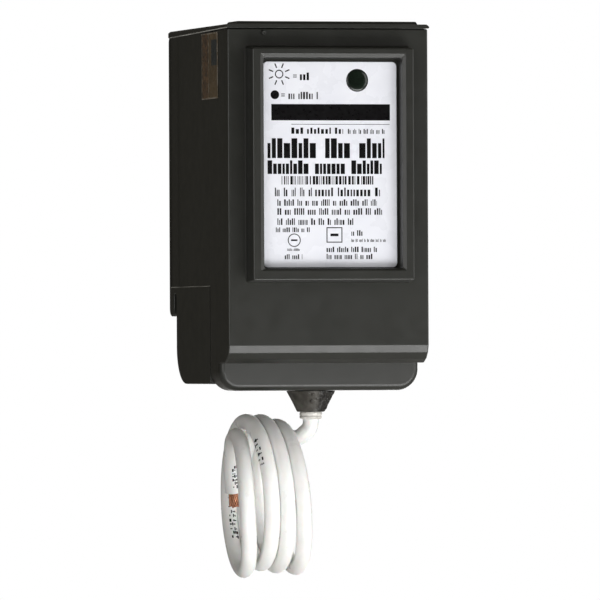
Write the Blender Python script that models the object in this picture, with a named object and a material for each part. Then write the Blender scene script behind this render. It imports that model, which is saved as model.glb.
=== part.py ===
"""Plug-on whole-house surge protector: a two-space breaker-style module with a coiled neutral lead.

Frame: +Z up towards the line end, -Y out of the front, X across the two pole spaces.
The origin is the centre of the flat rear face, where the module lies against the panel's pan.
All values are metres, written in millimetres times MM.
"""
import math

import bpy
import bmesh
from mathutils import Matrix, Vector

MM = 0.001
GAP = 0.3 * MM

# ---------------------------------------------------------------- driving dimensions
WIDTH = 50.4 * MM
HALF = WIDTH / 2
POLE_X = 12.7 * MM
FRONT_Y = -58.0 * MM
SEAM_Y = -40.0 * MM
WALL = 2.0 * MM

TOP_Z = 43.3 * MM
RIM_TOP_Z = 44.6 * MM
PLATEAU_Z = 45.2 * MM
RIM_OUT = 0.35 * MM
PLATEAU_HALF = 22.4 * MM
PLATEAU_REAR_Y = -48.2 * MM

CASE_BOTTOM_Z = -42.7 * MM
COVER_BOTTOM_Z = -44.4 * MM
PANEL_BOTTOM_Z = -37.7 * MM
LOWER_FRONT_Y = -49.3 * MM
LOWER_CORNER = 5.5 * MM

HOOK_TIP_Z = -26.0 * MM
HOOK_THICK = 4.2 * MM
SLOT_ROOF_Z = -20.4 * MM
LOWER_REAR_Y = -6.8 * MM
REAR_BOTTOM_R = 7.3 * MM
LEDGE_Z = -18.8 * MM
LEDGE_DEPTH = 0.4 * MM
CREASE_Y = -8.5 * MM

BLOCK_HEIGHT = 5.2 * MM
BLOCK_FRONT_Y = FRONT_Y - BLOCK_HEIGHT
BLOCK_HALF = 20.1 * MM
BLOCK_TOP_Z = 38.6 * MM
BLOCK_BOTTOM_Z = -17.6 * MM
BLOCK_DRAFT = 0.45 * MM
RECESS_Y = -59.6 * MM
RECESS_HALF = 18.2 * MM
RECESS_TOP_Z = 37.2 * MM
RECESS_BOTTOM_Z = -15.25 * MM
LABEL_LEFT_X = -16.9 * MM
LABEL_RIGHT_X = 16.7 * MM
LABEL_TOP_Z = 35.4 * MM
LABEL_BOTTOM_Z = -14.5 * MM
LABEL_THICK = 0.3 * MM
LENS_X = 6.8 * MM
LENS_Z = 30.9 * MM
LENS_R = 2.8 * MM

JAW_SLOT_HALF = 2.8 * MM
JAW_SLOT_LOW_Z = 27.0 * MM
JAW_SLOT_DEPTH = 20.0 * MM
JAW_LOW_Z = 29.5 * MM
JAW_HIGH_Z = 40.5 * MM

SCREW_X = 20.2 * MM
SCREW_TOP_Z = 38.6 * MM
SCREW_LOW_Z = -36.4 * MM
SCREW_POST_R = 3.1 * MM
SCREW_SHANK_R = 1.4 * MM

BOARD_Y = -33.0 * MM
BOARD_THICK = 1.6 * MM
ARM_PIVOT_Y = -20.0 * MM
ARM_PIVOT_Z = 20.0 * MM
ARM_TIP_Z = 8.6 * MM
PIN_R = 1.0 * MM
KNUCKLE_HOLE_R = 1.08 * MM
KNUCKLE_R = 1.9 * MM

VARISTOR_R = 10.6 * MM
VARISTOR_Z = -3.6 * MM
VARISTOR_BACK_Y = -24.4 * MM
VARISTOR_FRONT_Y = -30.6 * MM

CORD_R = 1.95 * MM
BOOT_Y = -40.5 * MM
BOOT_HOLE_R = 3.9 * MM
BOOT_LENGTH = 4.9 * MM
COIL_Y = -48.0 * MM
COIL_Z = -69.8 * MM
COIL_LEAN = 2.9
COIL_OUTER_R = 19.6 * MM
COIL_INNER_R = 14.8 * MM
COIL_LEFT_X = -25.0 * MM
COIL_RIGHT_X = -5.2 * MM

ROUND = 24


# ---------------------------------------------------------------- helpers
def clear_scene():
    for thing in list(bpy.data.objects):
        bpy.data.objects.remove(thing, do_unlink=True)


def material(name, colour, roughness, metallic=0.0, alpha=1.0):
    mat = bpy.data.materials.new(name)
    mat.use_nodes = True
    shader = mat.node_tree.nodes["Principled BSDF"]
    shader.inputs["Base Color"].default_value = (*colour, 1.0)
    shader.inputs["Roughness"].default_value = roughness
    shader.inputs["Metallic"].default_value = metallic
    shader.inputs["Alpha"].default_value = alpha
    return mat


def add_object(name, bm, mat=None, smooth=False):
    bmesh.ops.recalc_face_normals(bm, faces=bm.faces)
    mesh = bpy.data.meshes.new(name)
    bm.to_mesh(mesh)
    bm.free()
    obj = bpy.data.objects.new(name, mesh)
    bpy.context.scene.collection.objects.link(obj)
    if mat:
        mesh.materials.append(mat)
    if smooth:
        mesh.shade_smooth()
        mesh.set_sharp_from_angle(angle=math.radians(35))
    return obj


def place(axis, along, a, b):
    """A point at `along` on the axis; a and b are the other two coordinates in X, Y, Z order."""
    if axis == "X":
        return (along, a, b)
    if axis == "Y":
        return (a, along, b)
    return (a, b, along)


def loft_mesh(axis, sections):
    """A closed solid through sections [(along, outline), ...] whose outlines have equal point counts."""
    bm = bmesh.new()
    rings = [[bm.verts.new(place(axis, along, a, b)) for a, b in outline] for along, outline in sections]
    count = len(rings[0])
    for ring, following in zip(rings, rings[1:]):
        for i in range(count):
            j = (i + 1) % count
            bm.faces.new((ring[i], ring[j], following[j], following[i]))
    bm.faces.new(list(reversed(rings[0])))
    bm.faces.new(rings[-1])
    return bm


def loft(name, axis, sections, mat=None, smooth=False):
    return add_object(name, loft_mesh(axis, sections), mat, smooth)


def prism(name, axis, outline, low, high, mat=None, smooth=False):
    return loft(name, axis, [(low, outline), (high, outline)], mat, smooth)


def rectangle(a0, a1, b0, b1):
    return [(a0, b0), (a1, b0), (a1, b1), (a0, b1)]


def box(name, x, y, z, mat=None):
    return prism(name, "Z", rectangle(*x, *y), z[0], z[1], mat)


def arc(ca, cb, radius, start, end, steps):
    """Points on an arc, angles in degrees, both ends included."""
    points = []
    for i in range(steps + 1):
        angle = math.radians(start + (end - start) * i / steps)
        points.append((ca + radius * math.cos(angle), cb + radius * math.sin(angle)))
    return points


def circle(ca, cb, radius, steps=ROUND):
    return arc(ca, cb, radius, 0, 360 - 360 / steps, steps - 1)


def rounded_rectangle(a0, a1, b0, b1, radius, steps=3):
    points = arc(a1 - radius, b1 - radius, radius, 0, 90, steps)
    points += arc(a0 + radius, b1 - radius, radius, 90, 180, steps)
    points += arc(a0 + radius, b0 + radius, radius, 180, 270, steps)
    points += arc(a1 - radius, b0 + radius, radius, 270, 360, steps)
    return points


def cylinder(name, axis, centre, radius, low, high, mat=None, steps=ROUND):
    return prism(name, axis, circle(*centre, radius, steps), low, high, mat, smooth=True)


def turned(name, axis, centre, profile, mat=None, steps=ROUND):
    """A solid of revolution from a closed profile [(radius, along), ...]; radius 0 lies on the axis."""
    bm = bmesh.new()
    rings = []
    for radius, along in profile:
        if radius == 0:
            rings.append([bm.verts.new(place(axis, along, *centre))])
        else:
            rings.append([bm.verts.new(place(axis, along, a, b)) for a, b in circle(*centre, radius, steps)])
    closed = profile[0][0] != 0
    pairs = list(zip(rings, rings[1:]))
    if closed:
        pairs.append((rings[-1], rings[0]))
    for ring, following in pairs:
        for i in range(steps):
            j = (i + 1) % steps
            if len(ring) == 1:
                bm.faces.new((ring[0], following[j], following[i]))
            elif len(following) == 1:
                bm.faces.new((ring[i], ring[j], following[0]))
            else:
                bm.faces.new((ring[i], ring[j], following[j], following[i]))
    return add_object(name, bm, mat, smooth=True)


def combine(target, tool, operation):
    """Boolean the tool into the target; the tool stays in the file as a hidden guide."""
    tool.hide_render = True
    tool.display_type = "WIRE"
    modifier = target.modifiers.new(operation.title(), "BOOLEAN")
    modifier.operation = operation
    modifier.solver = "EXACT"
    modifier.object = tool


def cut(target, *tools):
    for tool in tools:
        combine(target, tool, "DIFFERENCE")


def join(target, *tools):
    for tool in tools:
        combine(target, tool, "UNION")


def smooth_path(route, spacing):
    """Points every `spacing` along a Catmull-Rom curve through the route's own points."""
    points = [Vector(p) for p in route]
    padded = [2 * points[0] - points[1]] + points + [2 * points[-1] - points[-2]]
    fine = []
    for a, b, c, d in zip(padded, padded[1:], padded[2:], padded[3:]):
        for i in range(24):
            t = i / 24
            fine.append(0.5 * (2 * b + (c - a) * t + (2 * a - 5 * b + 4 * c - d) * t ** 2
                               + (3 * b - 3 * c + d - a) * t ** 3))
    fine.append(points[-1])
    length = sum((q - p).length for p, q in zip(fine, fine[1:]))
    steps = max(2, round(length / spacing))
    result, travelled, target = [fine[0]], 0.0, length / steps
    for p, q in zip(fine, fine[1:]):
        stretch = (q - p).length
        while stretch > 0 and travelled + stretch >= target and len(result) < steps:
            result.append(p.lerp(q, (target - travelled) / stretch))
            target += length / steps
        travelled += stretch
    result.append(fine[-1])
    return result


def tube(name, points, radius, mat, resolution=2):
    """A round tube along a poly spline, with filled caps."""
    curve = bpy.data.curves.new(name, "CURVE")
    curve.dimensions = "3D"
    curve.bevel_depth = radius
    curve.bevel_resolution = resolution
    curve.use_fill_caps = True
    spline = curve.splines.new("POLY")
    spline.points.add(len(points) - 1)
    for slot, point in zip(spline.points, points):
        slot.co = (*point, 1.0)
    obj = bpy.data.objects.new(name, curve)
    bpy.context.scene.collection.objects.link(obj)
    curve.materials.append(mat)
    return obj


# ---------------------------------------------------------------- rear case
def case_side_profile():
    """The rear case seen from the side, as (y, z)."""
    corner = 1.6 * MM
    tip = HOOK_THICK / 2
    seam = SEAM_Y + GAP / 2
    points = [(seam, TOP_Z)]
    points += arc(-corner, TOP_Z - corner, corner, 90, 0, 3)
    points += arc(-tip, HOOK_TIP_Z + tip, tip, 0, -180, 6)
    points += [(-HOOK_THICK, SLOT_ROOF_Z), (LOWER_REAR_Y, SLOT_ROOF_Z)]
    points += arc(LOWER_REAR_Y - REAR_BOTTOM_R, CASE_BOTTOM_Z + REAR_BOTTOM_R, REAR_BOTTOM_R, 0, -90, 6)
    points += [(seam, CASE_BOTTOM_Z)]
    return points


def rim_sections(y_low, y_high, chamfer_at_low):
    """The lip around the top edge, chamfered above, and at its low-Y end where that end is the front."""
    def outline(inset):
        half = HALF + RIM_OUT - inset
        top = RIM_TOP_Z - inset
        return [(-half, TOP_Z - 0.1 * MM), (half, TOP_Z - 0.1 * MM), (half, TOP_Z + 0.5 * MM),
                (half - 0.8 * MM, top), (-half + 0.8 * MM, top), (-half, TOP_Z + 0.5 * MM)]
    if chamfer_at_low:
        return [(y_low, outline(0.4 * MM)), (y_low + 0.5 * MM, outline(0)), (y_high, outline(0))]
    return [(y_low, outline(0)), (y_high - 0.5 * MM, outline(0)), (y_high, outline(0.4 * MM))]


def plateau(y_low, y_high):
    """The raised flat on the cover's top, with sloping sides."""
    foot = RIM_TOP_Z - 0.3 * MM
    slope = 0.55 * MM
    low = rectangle(-PLATEAU_HALF - slope, PLATEAU_HALF + slope, y_low - slope, y_high + slope)
    high = rectangle(-PLATEAU_HALF, PLATEAU_HALF, y_low, y_high)
    return loft("cover_plateau", "Z", [(foot, low), (PLATEAU_Z, high)])


def rear_case(mat):
    seam = SEAM_Y + GAP / 2
    case = prism("rear_case", "X", case_side_profile(), -HALF, HALF, mat)
    join(case, loft("case_rim", "Y", rim_sections(seam, 0.0, False)))

    hollow_back = [(seam - 1 * MM, TOP_Z - WALL), (-WALL, TOP_Z - WALL), (-WALL, SLOT_ROOF_Z + WALL),
                   (LOWER_REAR_Y - WALL, SLOT_ROOF_Z + WALL)]
    inner_r = REAR_BOTTOM_R - WALL
    hollow_back += arc(LOWER_REAR_Y - REAR_BOTTOM_R, CASE_BOTTOM_Z + REAR_BOTTOM_R, inner_r, 0, -90, 5)
    hollow_back += [(seam - 1 * MM, CASE_BOTTOM_Z + WALL)]
    cut(case, prism("case_hollow", "X", hollow_back, -HALF + WALL, HALF - WALL))

    # The upper side walls step in above the ledge, and again a little in front of the rear strip.
    for side in (-1, 1):
        outer = side * (HALF + 1 * MM)
        step = side * (HALF - LEDGE_DEPTH)
        shallow = side * (HALF - LEDGE_DEPTH / 2)
        x_step = (min(outer, step), max(outer, step))
        x_shallow = (min(outer, shallow), max(outer, shallow))
        top = TOP_Z - 0.6 * MM
        label = "left" if side < 0 else "right"
        cut(case, box(f"side_step_{label}", x_step, (seam - 1 * MM, CREASE_Y), (LEDGE_Z, top)),
            box(f"side_strip_{label}", x_shallow, (CREASE_Y - 0.2 * MM, -1.2 * MM), (LEDGE_Z, top)))

    # A walled pocket behind each line jaw, open to the rear and to the line end.
    for side in (-1, 1):
        centre = side * POLE_X
        label = "left" if side < 0 else "right"
        wall = 1.3 * MM
        block = box(f"jaw_pocket_wall_{label}", (centre - JAW_SLOT_HALF - wall, centre + JAW_SLOT_HALF + wall),
                    (-JAW_SLOT_DEPTH - wall, -1 * MM), (JAW_SLOT_LOW_Z - wall, TOP_Z - 1 * MM))
        pocket = box(f"jaw_pocket_{label}", (centre - JAW_SLOT_HALF, centre + JAW_SLOT_HALF),
                     (-JAW_SLOT_DEPTH, 1 * MM), (JAW_SLOT_LOW_Z, PLATEAU_Z + 1 * MM))
        strap_way = box(f"strap_way_{label}", (centre - 1.1 * MM, centre + 1.1 * MM),
                        (-19.0 * MM, -12.0 * MM), (JAW_SLOT_LOW_Z - 2 * wall, JAW_SLOT_LOW_Z + 1 * MM))
        join(case, block)
        cut(case, pocket, strap_way)

    # Posts that take the case screws, counterbored from the rear.
    for side in (-1, 1):
        for z in (SCREW_TOP_Z, SCREW_LOW_Z):
            rear = 0.0 if z > 0 else LOWER_REAR_Y
            label = f"{'left' if side < 0 else 'right'}_{'top' if z > 0 else 'low'}"
            centre = (side * SCREW_X, z)
            join(case, cylinder(f"post_{label}", "Y", centre, SCREW_POST_R, seam, rear - 1 * MM, steps=16))
            cut(case, cylinder(f"post_hole_{label}", "Y", centre, SCREW_SHANK_R + 0.15 * MM,
                               seam - 1 * MM, rear + 1 * MM, steps=16),
                cylinder(f"post_sink_{label}", "Y", centre, 2.3 * MM, rear - 3.0 * MM,
                         rear + 1 * MM, steps=16))

    # Half boss and half hole for the lead's boot, on the seam.
    boss = cylinder("boot_boss", "Z", (0.0, BOOT_Y), 6.2 * MM, COVER_BOTTOM_Z, CASE_BOTTOM_Z + 0.5 * MM)
    cut(boss, box("boot_boss_trim", (-8 * MM, 8 * MM), (BOOT_Y - 8 * MM, seam), (-50 * MM, -40 * MM)))
    join(case, boss)
    cut(case, cylinder("case_boot_hole", "Z", (0.0, BOOT_Y), BOOT_HOLE_R, -50 * MM, -38 * MM))
    return case


# ---------------------------------------------------------------- front cover
def lower_outline(inset):
    """The cover's full outline seen from the front, with its two round bottom corners, as (x, z)."""
    radius = LOWER_CORNER - inset
    half = HALF - inset
    bottom = COVER_BOTTOM_Z + inset
    points = [(half, TOP_Z), (-half, TOP_Z)]
    points += arc(-half + radius, bottom + radius, radius, 180, 270, 6)
    points += arc(half - radius, bottom + radius, radius, 270, 360, 6)
    return points


def panel_profile(inset):
    """The front panel seen from the side, as (y, z), with its turned-under bottom edge."""
    front = FRONT_Y + inset
    return [(-44.0 * MM, TOP_Z), (front, TOP_Z), (front, -33.3 * MM),
            (front + 0.55 * MM, -35.1 * MM), (front + 1.5 * MM, -36.3 * MM),
            (front + 2.8 * MM, PANEL_BOTTOM_Z + 0.3 * MM), (front + 4.2 * MM, PANEL_BOTTOM_Z),
            (-44.0 * MM, PANEL_BOTTOM_Z)]


def block_outline(margin, radius, steps=3):
    """The raised block's outline grown by a margin, as (x, z)."""
    return rounded_rectangle(-BLOCK_HALF - margin, BLOCK_HALF + margin, BLOCK_BOTTOM_Z - margin,
                             BLOCK_TOP_Z + margin, radius, steps)


def recess_outline(inset, inset_low, radius, steps=3):
    """The label recess's outline, drawn in from its mouth, as (x, z); the lower side has its own inset."""
    return rounded_rectangle(-RECESS_HALF + inset, RECESS_HALF - inset, RECESS_BOTTOM_Z + inset_low,
                             RECESS_TOP_Z - inset, radius, steps)


def front_cover(mat):
    seam = SEAM_Y - GAP / 2
    edge = 0.6 * MM
    sections = [(LOWER_FRONT_Y, lower_outline(1.6 * MM)), (LOWER_FRONT_Y + 0.4 * MM, lower_outline(0.7 * MM)),
                (LOWER_FRONT_Y + 1.6 * MM, lower_outline(0.0)), (seam, lower_outline(0.0))]
    cover = loft("front_cover", "Y", sections, mat)
    panel = loft("front_panel", "X", [(-HALF, panel_profile(edge)), (-HALF + edge, panel_profile(0)),
                                      (HALF - edge, panel_profile(0)), (HALF, panel_profile(edge))])
    rim = loft("cover_rim", "Y", rim_sections(FRONT_Y - 0.3 * MM, seam, True))
    block = loft("label_block", "Y", [
        (BLOCK_FRONT_Y, block_outline(-0.15 * MM, 0.4 * MM)),
        (BLOCK_FRONT_Y + 0.2 * MM, block_outline(0.05 * MM, 0.5 * MM)),
        (FRONT_Y + 1 * MM, block_outline(BLOCK_DRAFT, 0.8 * MM))])
    join(cover, panel, rim, plateau(FRONT_Y + 0.9 * MM, PLATEAU_REAR_Y), block)

    # The label recess has a bevelled mouth and steep walls.
    recess = loft("label_recess", "Y", [
        (BLOCK_FRONT_Y - 1 * MM, recess_outline(0.0, 0.0, 0.3 * MM)),
        (BLOCK_FRONT_Y, recess_outline(0.0, 0.0, 0.3 * MM)),
        (BLOCK_FRONT_Y + 0.45 * MM, recess_outline(0.75 * MM, 0.3 * MM, 0.8 * MM)),
        (RECESS_Y, recess_outline(1.0 * MM, 0.4 * MM, 1.1 * MM))])
    cut(cover, recess)

    # Inside: the box of the cover, then the shallower space above the stepped-back lower body.
    inner = HALF - WALL
    main = box("cover_hollow", (-inner, inner), (FRONT_Y + WALL, seam + 1 * MM),
               (PANEL_BOTTOM_Z + WALL, TOP_Z - WALL))
    lower = prism("cover_hollow_low", "Y",
                  rounded_rectangle(-inner, inner, COVER_BOTTOM_Z + WALL, -30 * MM, LOWER_CORNER - WALL),
                  LOWER_FRONT_Y + WALL, seam + 1 * MM)
    cut(cover, main, lower)

    # Four bosses that the case screws bite into.
    for side in (-1, 1):
        for z in (SCREW_TOP_Z, SCREW_LOW_Z):
            label = f"{'left' if side < 0 else 'right'}_{'top' if z > 0 else 'low'}"
            front = FRONT_Y + 1 * MM if z > 0 else LOWER_FRONT_Y + 1 * MM
            centre = (side * SCREW_X, z)
            join(cover, cylinder(f"boss_{label}", "Y", centre, SCREW_POST_R, front, seam, steps=16))
            cut(cover, cylinder(f"boss_hole_{label}", "Y", centre, SCREW_SHANK_R + 0.15 * MM,
                                LOWER_FRONT_Y + 2.2 * MM, seam + 1 * MM, steps=16))

    cut(cover, cylinder("cover_boot_hole", "Z", (0.0, BOOT_Y), BOOT_HOLE_R, -50 * MM, -38 * MM),
        cylinder("lens_hole", "Y", (LENS_X, LENS_Z), LENS_R + 0.3 * MM, RECESS_Y - 1 * MM, -50 * MM))
    return cover


def label_and_lens(paper, green, dark_green):
    back = RECESS_Y - GAP / 2
    outline = rounded_rectangle(LABEL_LEFT_X, LABEL_RIGHT_X, LABEL_BOTTOM_Z, LABEL_TOP_Z, 1.15 * MM)
    plate = prism("label_plate", "Y", outline, back - LABEL_THICK, back, paper)
    cut(plate, cylinder("label_lens_hole", "Y", (LENS_X, LENS_Z), LENS_R + 0.15 * MM,
                        back - 2 * MM, back + 1 * MM))
    front = back - LABEL_THICK - 0.15 * MM
    turned("status_lens", "Y", (LENS_X, LENS_Z), [
        (0, front), (1.5 * MM, front + 0.1 * MM), (2.3 * MM, front + 0.4 * MM), (2.65 * MM, front + 0.9 * MM),
        (2.65 * MM, -57.9 * MM), (2.0 * MM, -57.3 * MM), (2.0 * MM, -45.6 * MM), (0, -45.6 * MM)], green)
    flange = BOARD_Y - BOARD_THICK - GAP
    turned("status_led", "Y", (LENS_X, LENS_Z), [
        (0, -43.4 * MM), (1.3 * MM, -43.1 * MM), (2.1 * MM, -42.3 * MM), (2.5 * MM, -41.0 * MM),
        (2.5 * MM, flange - 1.2 * MM), (2.9 * MM, flange - 1.2 * MM), (2.9 * MM, flange), (0, flange)],
        dark_green)


def tamper_seal(mat):
    """A short strip of tape across the seam on the left side, under the top lip."""
    outer = -HALF - 0.3 * MM
    outline = rounded_rectangle(-48.8 * MM, -32.0 * MM, 26.8 * MM, TOP_Z - 0.35 * MM, 0.8 * MM, 2)
    prism("tamper_seal", "X", outline, outer, outer + 0.15 * MM, mat)


# ---------------------------------------------------------------- power parts, one set per pole
def jaw_outline():
    """A U-shaped spring jaw seen along Z, as (x, y), open towards the rear."""
    base, contact, mouth = -16.6 * MM, -9.4 * MM, -5.0 * MM
    right = [(1.65 * MM, base), (1.65 * MM, base + 2.2 * MM), (1.35 * MM, contact),
             (1.95 * MM, mouth), (1.15 * MM, mouth), (0.45 * MM, contact), (0.75 * MM, base + 2.2 * MM),
             (0.75 * MM, base + 1.0 * MM)]
    left = [(-x, y) for x, y in reversed(right)]
    return right + left


def jaw_spring_outline():
    """The steel clip that presses the jaw's blades together, as (x, y)."""
    base, end = -17.5 * MM, -9.8 * MM
    right = [(2.5 * MM, base), (2.5 * MM, -14.0 * MM), (2.3 * MM, end), (1.8 * MM, end),
             (1.98 * MM, -14.0 * MM), (1.98 * MM, base + 0.55 * MM)]
    left = [(-x, y) for x, y in reversed(right)]
    return right + left


def shifted(outline, dx, dy=0.0):
    return [(a + dx, b + dy) for a, b in outline]


def torsion_spring(arm_x, coil_x, turns, wire_r, coil_r):
    """The wire round the arm's pivot, with one leg up on the strap side and one leg across the arm's front."""
    length = (turns - 0.25) * 2.3 * wire_r
    y, z = ARM_PIVOT_Y, ARM_PIVOT_Z
    points = [(coil_x - length / 2, y - coil_r, z + 4.2 * MM)]
    steps = 12
    for i in range(int(turns * steps) + 1):
        angle = math.radians(180 - 360 * i / steps)
        x = coil_x - length / 2 + length * i / (turns * steps)
        points.append((x, y + coil_r * math.cos(angle), z + coil_r * math.sin(angle)))
    points.append((coil_x + length / 2 - 0.3 * MM, y - coil_r, z - 2.6 * MM))
    points.append((arm_x + 0.6 * MM, y - 1.1 * MM, z - 4.4 * MM))
    points.append((arm_x - 1.6 * MM, y - 1.1 * MM, z - 4.6 * MM))
    return [Vector(point) for point in points]


def pole(side, mats):
    label = "left" if side < 0 else "right"
    x = side * POLE_X
    prism(f"line_jaw_{label}", "Z", shifted(jaw_outline(), x), JAW_LOW_Z, JAW_HIGH_Z, mats["tin"])
    prism(f"jaw_spring_{label}", "Z", shifted(jaw_spring_outline(), x), JAW_LOW_Z + 1.5 * MM,
          JAW_HIGH_Z - 1.5 * MM, mats["steel"])

    # The strap leaves the jaw's lower end and runs down to the arm's bracket.
    strap = [(-16.6 * MM, JAW_LOW_Z - GAP), (-12.6 * MM, JAW_LOW_Z - GAP), (-12.6 * MM, 24.6 * MM),
             (-17.0 * MM, 22.6 * MM), (-23.3 * MM, 22.6 * MM), (-23.3 * MM, 24.4 * MM),
             (-18.0 * MM, 24.4 * MM), (-16.6 * MM, 25.2 * MM)]
    prism(f"line_strap_{label}", "X", strap, x - 0.75 * MM, x + 0.75 * MM, mats["copper"])

    # The bracket's two cheeks carry the pin; its back plate lies in front of the pivot.
    cheek_half = 4.0 * MM
    cheek = 0.8 * MM
    back = box(f"arm_bracket_{label}", (x - cheek_half, x + cheek_half),
               (-24.6 * MM, -23.6 * MM), (16.8 * MM, 26.0 * MM), mats["brass"])
    for direction in (-1, 1):
        outer = x + direction * cheek_half
        inner = outer - direction * cheek
        ear = prism(f"bracket_ear_{label}_{'a' if direction < 0 else 'b'}", "X",
                    [(-24.2 * MM, 16.8 * MM)] + arc(ARM_PIVOT_Y, ARM_PIVOT_Z, 2.2 * MM, -60, 90, 6)
                    + [(-24.2 * MM, 23.0 * MM)], min(outer, inner), max(outer, inner))
        join(back, ear)
    cut(back, cylinder(f"bracket_pin_hole_{label}", "X", (ARM_PIVOT_Y, ARM_PIVOT_Z), PIN_R + 0.1 * MM,
                       x - 6 * MM, x + 6 * MM))
    pin_half = cheek_half + 0.9 * MM
    turned(f"arm_pin_{label}", "X", (ARM_PIVOT_Y, ARM_PIVOT_Z), [
        (0, x - pin_half - 0.6 * MM), (1.7 * MM, x - pin_half - 0.6 * MM),
        (1.7 * MM, x - pin_half + 0.5 * MM), (PIN_R, x - pin_half + 0.5 * MM),
        (PIN_R, x + pin_half), (0, x + pin_half)], mats["steel"])
    wire_r = 0.25 * MM
    wound = torsion_spring(x, x + 1.95 * MM, 3, wire_r, 1.55 * MM)
    tube(f"arm_spring_{label}", wound, wire_r, mats["steel"], 1)

    # The arm hangs from the pin and is soldered to the varistor's tab at its foot.
    arm_x = (x - 2.9 * MM, x + 0.4 * MM)
    blade_back, blade_front = ARM_PIVOT_Y + 0.4 * MM, ARM_PIVOT_Y - 0.4 * MM
    pivot = (ARM_PIVOT_Y, ARM_PIVOT_Z)
    arm = cylinder(f"disconnect_arm_{label}", "X", pivot, KNUCKLE_R, *arm_x, mats["copper"])
    join(arm, prism(f"arm_blade_{label}", "X", [
        (blade_front, ARM_PIVOT_Z - 1.2 * MM), (blade_back, ARM_PIVOT_Z - 1.2 * MM), (blade_back, 12.2 * MM),
        (-22.0 * MM, 9.6 * MM), (-22.0 * MM, ARM_TIP_Z), (-22.8 * MM, ARM_TIP_Z), (-22.8 * MM, 9.9 * MM),
        (blade_front, 12.4 * MM)], *arm_x))
    cut(arm, cylinder(f"arm_hole_{label}", "X", pivot, KNUCKLE_HOLE_R, x - 6 * MM, x + 6 * MM))

    # The varistor disc, its line tab at the top and its neutral lead at the bottom.
    disc_x = side * 11.6 * MM
    round_edge = 1.2 * MM
    turned(f"varistor_{label}", "Y", (disc_x, VARISTOR_Z), [
        (0, VARISTOR_BACK_Y), (VARISTOR_R - round_edge, VARISTOR_BACK_Y),
        (VARISTOR_R, VARISTOR_BACK_Y - round_edge), (VARISTOR_R, VARISTOR_FRONT_Y + round_edge),
        (VARISTOR_R - round_edge, VARISTOR_FRONT_Y),
        (0, VARISTOR_FRONT_Y)], mats["epoxy"], 32)
    prism(f"varistor_tab_{label}", "X", [
        (-23.1 * MM, 8.4 * MM), (-23.1 * MM, 12.4 * MM), (-23.9 * MM, 12.4 * MM), (-23.9 * MM, 9.2 * MM),
        (-27.4 * MM, 8.6 * MM), (-27.4 * MM, 7.4 * MM), (-26.6 * MM, 7.4 * MM), (-26.6 * MM, 8.0 * MM)],
        x - 2.9 * MM, x + 0.4 * MM, mats["tin"])
    box(f"varistor_lead_{label}", (disc_x - 0.5 * MM, disc_x + 0.5 * MM), (-27.9 * MM, -27.1 * MM),
        (-19.0 * MM, VARISTOR_Z - VARISTOR_R - GAP), mats["tin"])


# ---------------------------------------------------------------- neutral side and the indicator circuit
def neutral_side(mats):
    box("neutral_bus", (-14.5 * MM, 14.5 * MM), (-30.0 * MM, -25.0 * MM), (-20.6 * MM, -19.3 * MM),
        mats["copper"])
    outline = rounded_rectangle(-4.0 * MM, 4.0 * MM, -31.4 * MM, -23.4 * MM, 0.8 * MM)
    block = prism("neutral_terminal", "Z", outline, -30.0 * MM, -20.9 * MM, mats["brass"])
    cut(block, cylinder("terminal_bore", "Z", (0.0, -27.6 * MM), 1.9 * MM, -32 * MM, -22.9 * MM, steps=16),
        cylinder("terminal_tapping", "Y", (0.0, -26.0 * MM), 1.45 * MM, -26.5 * MM, -22 * MM, steps=16))
    screw = turned("terminal_screw", "Y", (0.0, -26.0 * MM), [
        (0, -25.4 * MM), (1.3 * MM, -25.4 * MM), (1.3 * MM, -23.1 * MM), (2.5 * MM, -23.1 * MM),
        (2.5 * MM, -21.5 * MM), (0, -21.5 * MM)], mats["steel"], 20)
    cut(screw, box("terminal_screw_slot", (-3 * MM, 3 * MM), (-22.2 * MM, -21 * MM),
                   (-26.35 * MM, -25.65 * MM)))
    inner = [(0, -27.6 * MM, -23.4 * MM), (0, -27.6 * MM, -27.5 * MM), (0, -28.8 * MM, -31.2 * MM),
             (0, -33.0 * MM, -33.2 * MM), (0, -37.9 * MM, -34.0 * MM), (0, BOOT_Y, -37.6 * MM)]
    tube("inner_neutral_lead", smooth_path(inner, 2.2 * MM), 1.25 * MM, mats["white"])


def board_and_parts(mats):
    box("circuit_board", (-21.6 * MM, 21.6 * MM), (BOARD_Y - BOARD_THICK, BOARD_Y), (-25.6 * MM, 34.6 * MM),
        mats["board"])
    front = BOARD_Y - BOARD_THICK - GAP
    body = 1.3 * MM

    def axial(name, x, z, radius, half, mat):
        """A small component lying along X on the board's front, with dished ends."""
        y = front - radius
        turned(name, "X", (y, z), [
            (0, x - half), (radius * 0.75, x - half), (radius, x - half + 0.5 * MM),
            (radius * 0.88, x - half + 1.3 * MM), (radius * 0.88, x + half - 1.3 * MM),
            (radius, x + half - 0.5 * MM), (radius * 0.75, x + half), (0, x + half)], mat, 16)

    axial("dropper_resistor_left", -11.0 * MM, 24.0 * MM, body * 1.4, 5.5 * MM, mats["resistor"])
    axial("dropper_resistor_right", -11.0 * MM, 18.0 * MM, body * 1.4, 5.5 * MM, mats["resistor"])
    axial("led_resistor", 6.0 * MM, 20.0 * MM, body, 3.4 * MM, mats["resistor"])
    axial("indicator_diode", 6.0 * MM, 14.0 * MM, body, 2.7 * MM, mats["black"])
    turned("filter_capacitor", "Y", (-8.0 * MM, 4.0 * MM), [
        (0, front), (3.9 * MM, front), (4.1 * MM, front - 0.4 * MM), (3.9 * MM, front - 1.2 * MM),
        (4.1 * MM, front - 2.0 * MM), (4.1 * MM, front - 9.6 * MM), (3.7 * MM, front - 10.0 * MM),
        (0, front - 10.0 * MM)], mats["capacitor"])
    box("phase_barrier", (-0.5 * MM, 0.5 * MM), (BOARD_Y + GAP, -2.6 * MM), (-14.0 * MM, 40.6 * MM),
        mats["barrier"])


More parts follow.
